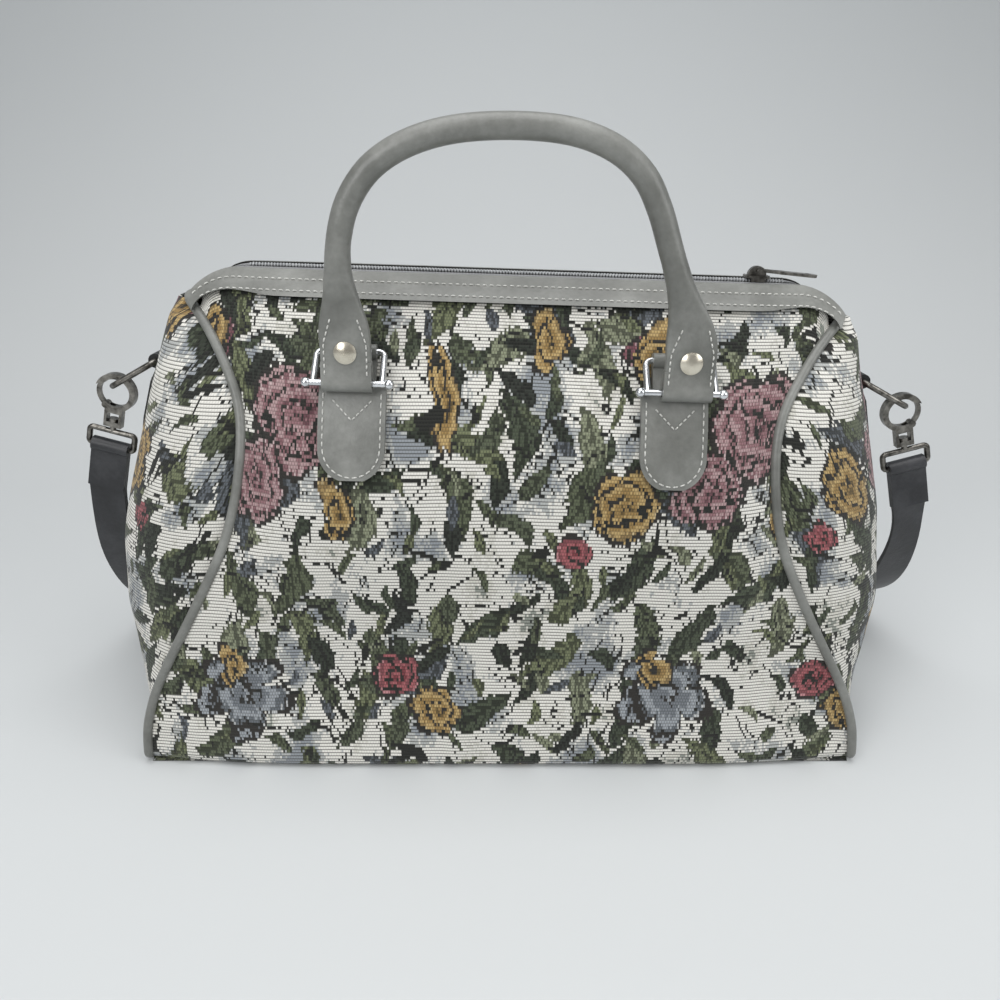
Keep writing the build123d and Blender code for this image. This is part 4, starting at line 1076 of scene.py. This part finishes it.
# %% [markdown]
# ## Zip teeth
# The zip has a nylon coil: a spiral of thin plastic on each tape, and the two lock together. Close up it
# reads as two rows of short round bars. One bar is made and copied, closer than the model's coarse blocks.

# %% Teeth, in millimetres
COIL_HALF = 132.0
COIL_TOP = 237.9
COIL_PITCH = 1.5
TOOTH = (0.52, 1.4, 1.0)
TOOTH_SINK = 1.05
ROW_OUT = 1.15
ROW_STAGGER = 0.25


def make_coil():
    """Two rows of small rounded bars, from one bar."""
    bpy.ops.object.select_all(action="DESELECT")
    bpy.ops.mesh.primitive_uv_sphere_add(segments=8, ring_count=6, radius=1)
    seed = bpy.context.object
    shape = np.array([v.co for v in seed.data.vertices])
    shell = [list(face.vertices) for face in seed.data.polygons]
    bpy.data.objects.remove(seed)
    spots, faces = [], []
    for i in range(int(2 * COIL_HALF / COIL_PITCH)):
        for row in (-1, 1):
            x = -COIL_HALF + (i + 0.5 + ROW_STAGGER * row) * COIL_PITCH
            start = len(spots)
            for a, b, c in shape:
                out = row * ROW_OUT + TOOTH[1] * b
                spots.append(upper(x + TOOTH[0] * a, out, COIL_TOP - TOOTH_SINK + TOOTH[2] * c))
            faces += [[start + j for j in face] for face in shell]
    mesh = bpy.data.meshes.new("zip_teeth")
    mesh.from_pydata(spots, [], faces)
    piece = bpy.data.objects.new("zip_teeth", mesh)
    bpy.context.scene.collection.objects.link(piece)
    mesh.shade_smooth()
    return piece


teeth = make_coil()
nylon, tree = new_finish("nylon_coil")
speckle = add(tree, "TexNoise", {"Scale": 300.0}, add(tree, "TexCoord").outputs["Object"])
tone = bands(tree, speckle, [(0.3, "#8f9193"), (0.7, "#adafb0")])
finish_with(tree, add(tree, "BsdfPrincipled", {"Base Color": tone, "Roughness": 0.35, "IOR": 1.53}))
teeth.data.materials.append(nylon)
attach(teeth, "root")
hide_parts("zip_coil")
print("teeth", len(teeth.data.polygons), "faces")

# %% [markdown]
# ## Stitches
# The seams are pale waxed thread, 0.7 mm thick, in lock stitch: short dashes that sink at both ends. One dash
# is shaped and copied along each seam. A seam is drawn beside its leather and dropped onto it, so that it
# lies on the surface.

# %% Seam helper, with half the thread's thickness in millimetres
STITCH_SHARE = 0.68
THREAD = 0.36
THREAD_FACETS = 6
DROP_FROM = 0.05
LONGEST_STITCH = 2.2
# place along a dash, rise in millimetres, and share of the full thickness
DASH = ((-0.5, -0.1, 0.55), (-0.3, 0.26, 1.0), (0.3, 0.26, 1.0), (0.5, -0.1, 0.55))


def surface_of(name):
    """A search tree over one piece, to drop points onto."""
    mesh = (nodes[name] if name in nodes else bpy.data.objects[name]).data
    faces = [list(face.vertices) for face in mesh.polygons]
    return BVHTree.FromPolygons([v.co for v in mesh.vertices], faces)


def spaced(line, pitch):
    """Points along a line of points, one pitch apart."""
    line = [Vector(point) for point in line]
    lengths = np.concatenate([[0], np.cumsum([(b - a).length for a, b in zip(line, line[1:])])])
    count = max(2, int(round(lengths[-1] / pitch)) + 1)
    marks = np.linspace(0, lengths[-1], count)
    table = np.array(line)
    return [Vector([np.interp(mark, lengths, table[:, axis]) for axis in range(3)]) for mark in marks]


def dropped(surface, line, drop, pitch):
    """Where evenly spaced points of a line land on a surface, with its normal there, or None."""
    landed = []
    for point in spaced(line, pitch * MM):
        hit, normal, _, _ = surface.ray_cast(point - drop * DROP_FROM, drop)
        if hit is not None and normal.dot(drop) > 0:
            normal = -normal
        landed.append((hit, normal) if hit is not None else None)
    return landed


def make_thread():
    """Waxed polyester thread, twisted, so its tone changes every half millimetre."""
    material, tree = new_finish("pale_thread")
    place = add(tree, "TexCoord").outputs["Object"]
    twist = add(tree, "TexNoise", {"Scale": 1500.0, "Detail": 2.0}, place)
    tone = bands(tree, twist, [(0.35, "#a9a9a4"), (0.65, "#d4d4cf")])
    finish_with(tree, add(tree, "BsdfPrincipled", {"Base Color": tone, "Roughness": 0.6}))
    return material


pale_thread = make_thread()
print("thread", pale_thread.name)


# %% Sewing
def sew(name, body, seams):
    """Stitches along seams. A seam is (piece name, line of points, direction to drop them, pitch in mm)."""
    spots, faces = [], []
    for piece, line, drop, pitch in seams:
        landed = dropped(surface_of(piece), line, Vector(drop).normalized(), pitch)
        for here, there in zip(landed, landed[1:]):
            if here is None or there is None or (there[0] - here[0]).length > LONGEST_STITCH * pitch * MM:
                continue
            along = (there[0] - here[0]) * STITCH_SHARE
            out = (here[1] + there[1]).normalized()
            across = along.normalized().cross(out) * THREAD * MM
            middle = (here[0] + there[0]) / 2
            start = len(spots)
            for share, rise, wide in DASH:
                core = middle + along * share + out * rise * MM
                for k in range(THREAD_FACETS):
                    angle = 2 * pi * k / THREAD_FACETS
                    spots.append(core + across * wide * cos(angle) + out * (THREAD * MM * wide * sin(angle)))
            faces += tube_faces(start, len(DASH), THREAD_FACETS)
    piece = add_piece(name, spots, faces, pale_thread)
    bpy.ops.object.shade_smooth()
    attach(piece, body)
    print(name, len(piece.data.polygons), "faces")


# %% Stitches of the zip trim, in millimetres
TRIM_ROWS = ((233.2, 153), (228.9, 149))
TRIM_PITCH = 3.2
ROW_DROP = 0.92
trim_seams = []
for face, name in ((-1, "front_trim"), (1, "back_trim")):
    for height, reach in TRIM_ROWS:
        line = [upper(x, face * 20, height - ROW_DROP * ridge_fall(x)) for x in range(-reach, reach + 1, 2)]
        trim_seams.append((name, line, (0, -face, 0), TRIM_PITCH))
sew("trim_stitches", "root", trim_seams)

# %% Stitches of the handle chapes, in millimetres
CHAPE_HALF = 15.0
CHAPE_BOTTOM = 152
SEAM_INSET = 2.1
SEAM_TOP = 190
VEE = ((-9, 187), (0, 178.5), (9, 187))
chape_seams = []
for face, face_name in ((-1, "front"), (1, "back")):
    for place, side_name in zip(CHAPE_X, ("left", "right")):
        name = face_name + "_" + side_name + "_chape"
        radius = CHAPE_HALF - SEAM_INSET
        angles = [radians(a) for a in range(0, 181, 10)]
        round_part = [(place - radius * cos(a), CHAPE_BOTTOM + CHAPE_HALF - radius * sin(a)) for a in angles]
        outline = [(place - CHAPE_HALF + SEAM_INSET, SEAM_TOP), *round_part]
        outline.append((place + CHAPE_HALF - SEAM_INSET, SEAM_TOP))
        chape_seams.append((name, [upper(x, face * 60, z) for x, z in outline], (0, -face, 0), 3.3))
        vee = [upper(place + x, face * 60, z) for x, z in VEE]
        chape_seams.append((name, vee, (0, -face, 0), 2.4))
sew("chape_stitches", "root", chape_seams)

# %% Stitches of the handle tabs, in millimetres from the tab's middle and from the bar
TAB_SEAMS = (((-9.2, 4.0), (-9.2, 18.0), (-5.6, 29.0)), ((9.2, 4.0), (9.2, 18.0), (5.6, 29.0)))
TAB_PITCH = 2.9
for face, face_name in ((-1, "front"), (1, "back")):
    seams = []
    for place in TAB_ENDS:
        for marks in TAB_SEAMS:
            for over in (-1, 1):
                line = [handle_point(face, place + x, over * 12, up) for x, up in marks]
                drop = handle_point(face, 0, 0, 0) - handle_point(face, 0, over, 0)
                seams.append((face_name + "_rolled_handle", line, drop, TAB_PITCH))
    sew(face_name + "_handle_stitches", face_name + "_handle", seams)

# %% Stitches of the end tabs, in millimetres along the bag's depth and up from the tab's foot
END_TAB_SEAM = [(-9.8, 45), (-9.8, 25), (-3.6, 2.4), (3.6, 2.4), (9.8, 25), (9.8, 45)]
END_TAB_PITCH = 3.0
BESIDE_BAG = 0.19
tab_seams = []
for side, name in ((-1, "left_end_tab"), (1, "right_end_tab")):
    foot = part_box(name)[0].z
    line = [Vector((side * BESIDE_BAG, y * MM, foot + up * MM)) for y, up in END_TAB_SEAM]
    tab_seams.append((name, line, (-side, 0, 0), END_TAB_PITCH))
sew("end_tab_stitches", "root", tab_seams)

# %% [markdown]
# ## Check the size and hand over
# The cloth may stand proud of the model by a little.

# %% Finish
bpy.context.view_layer.update()
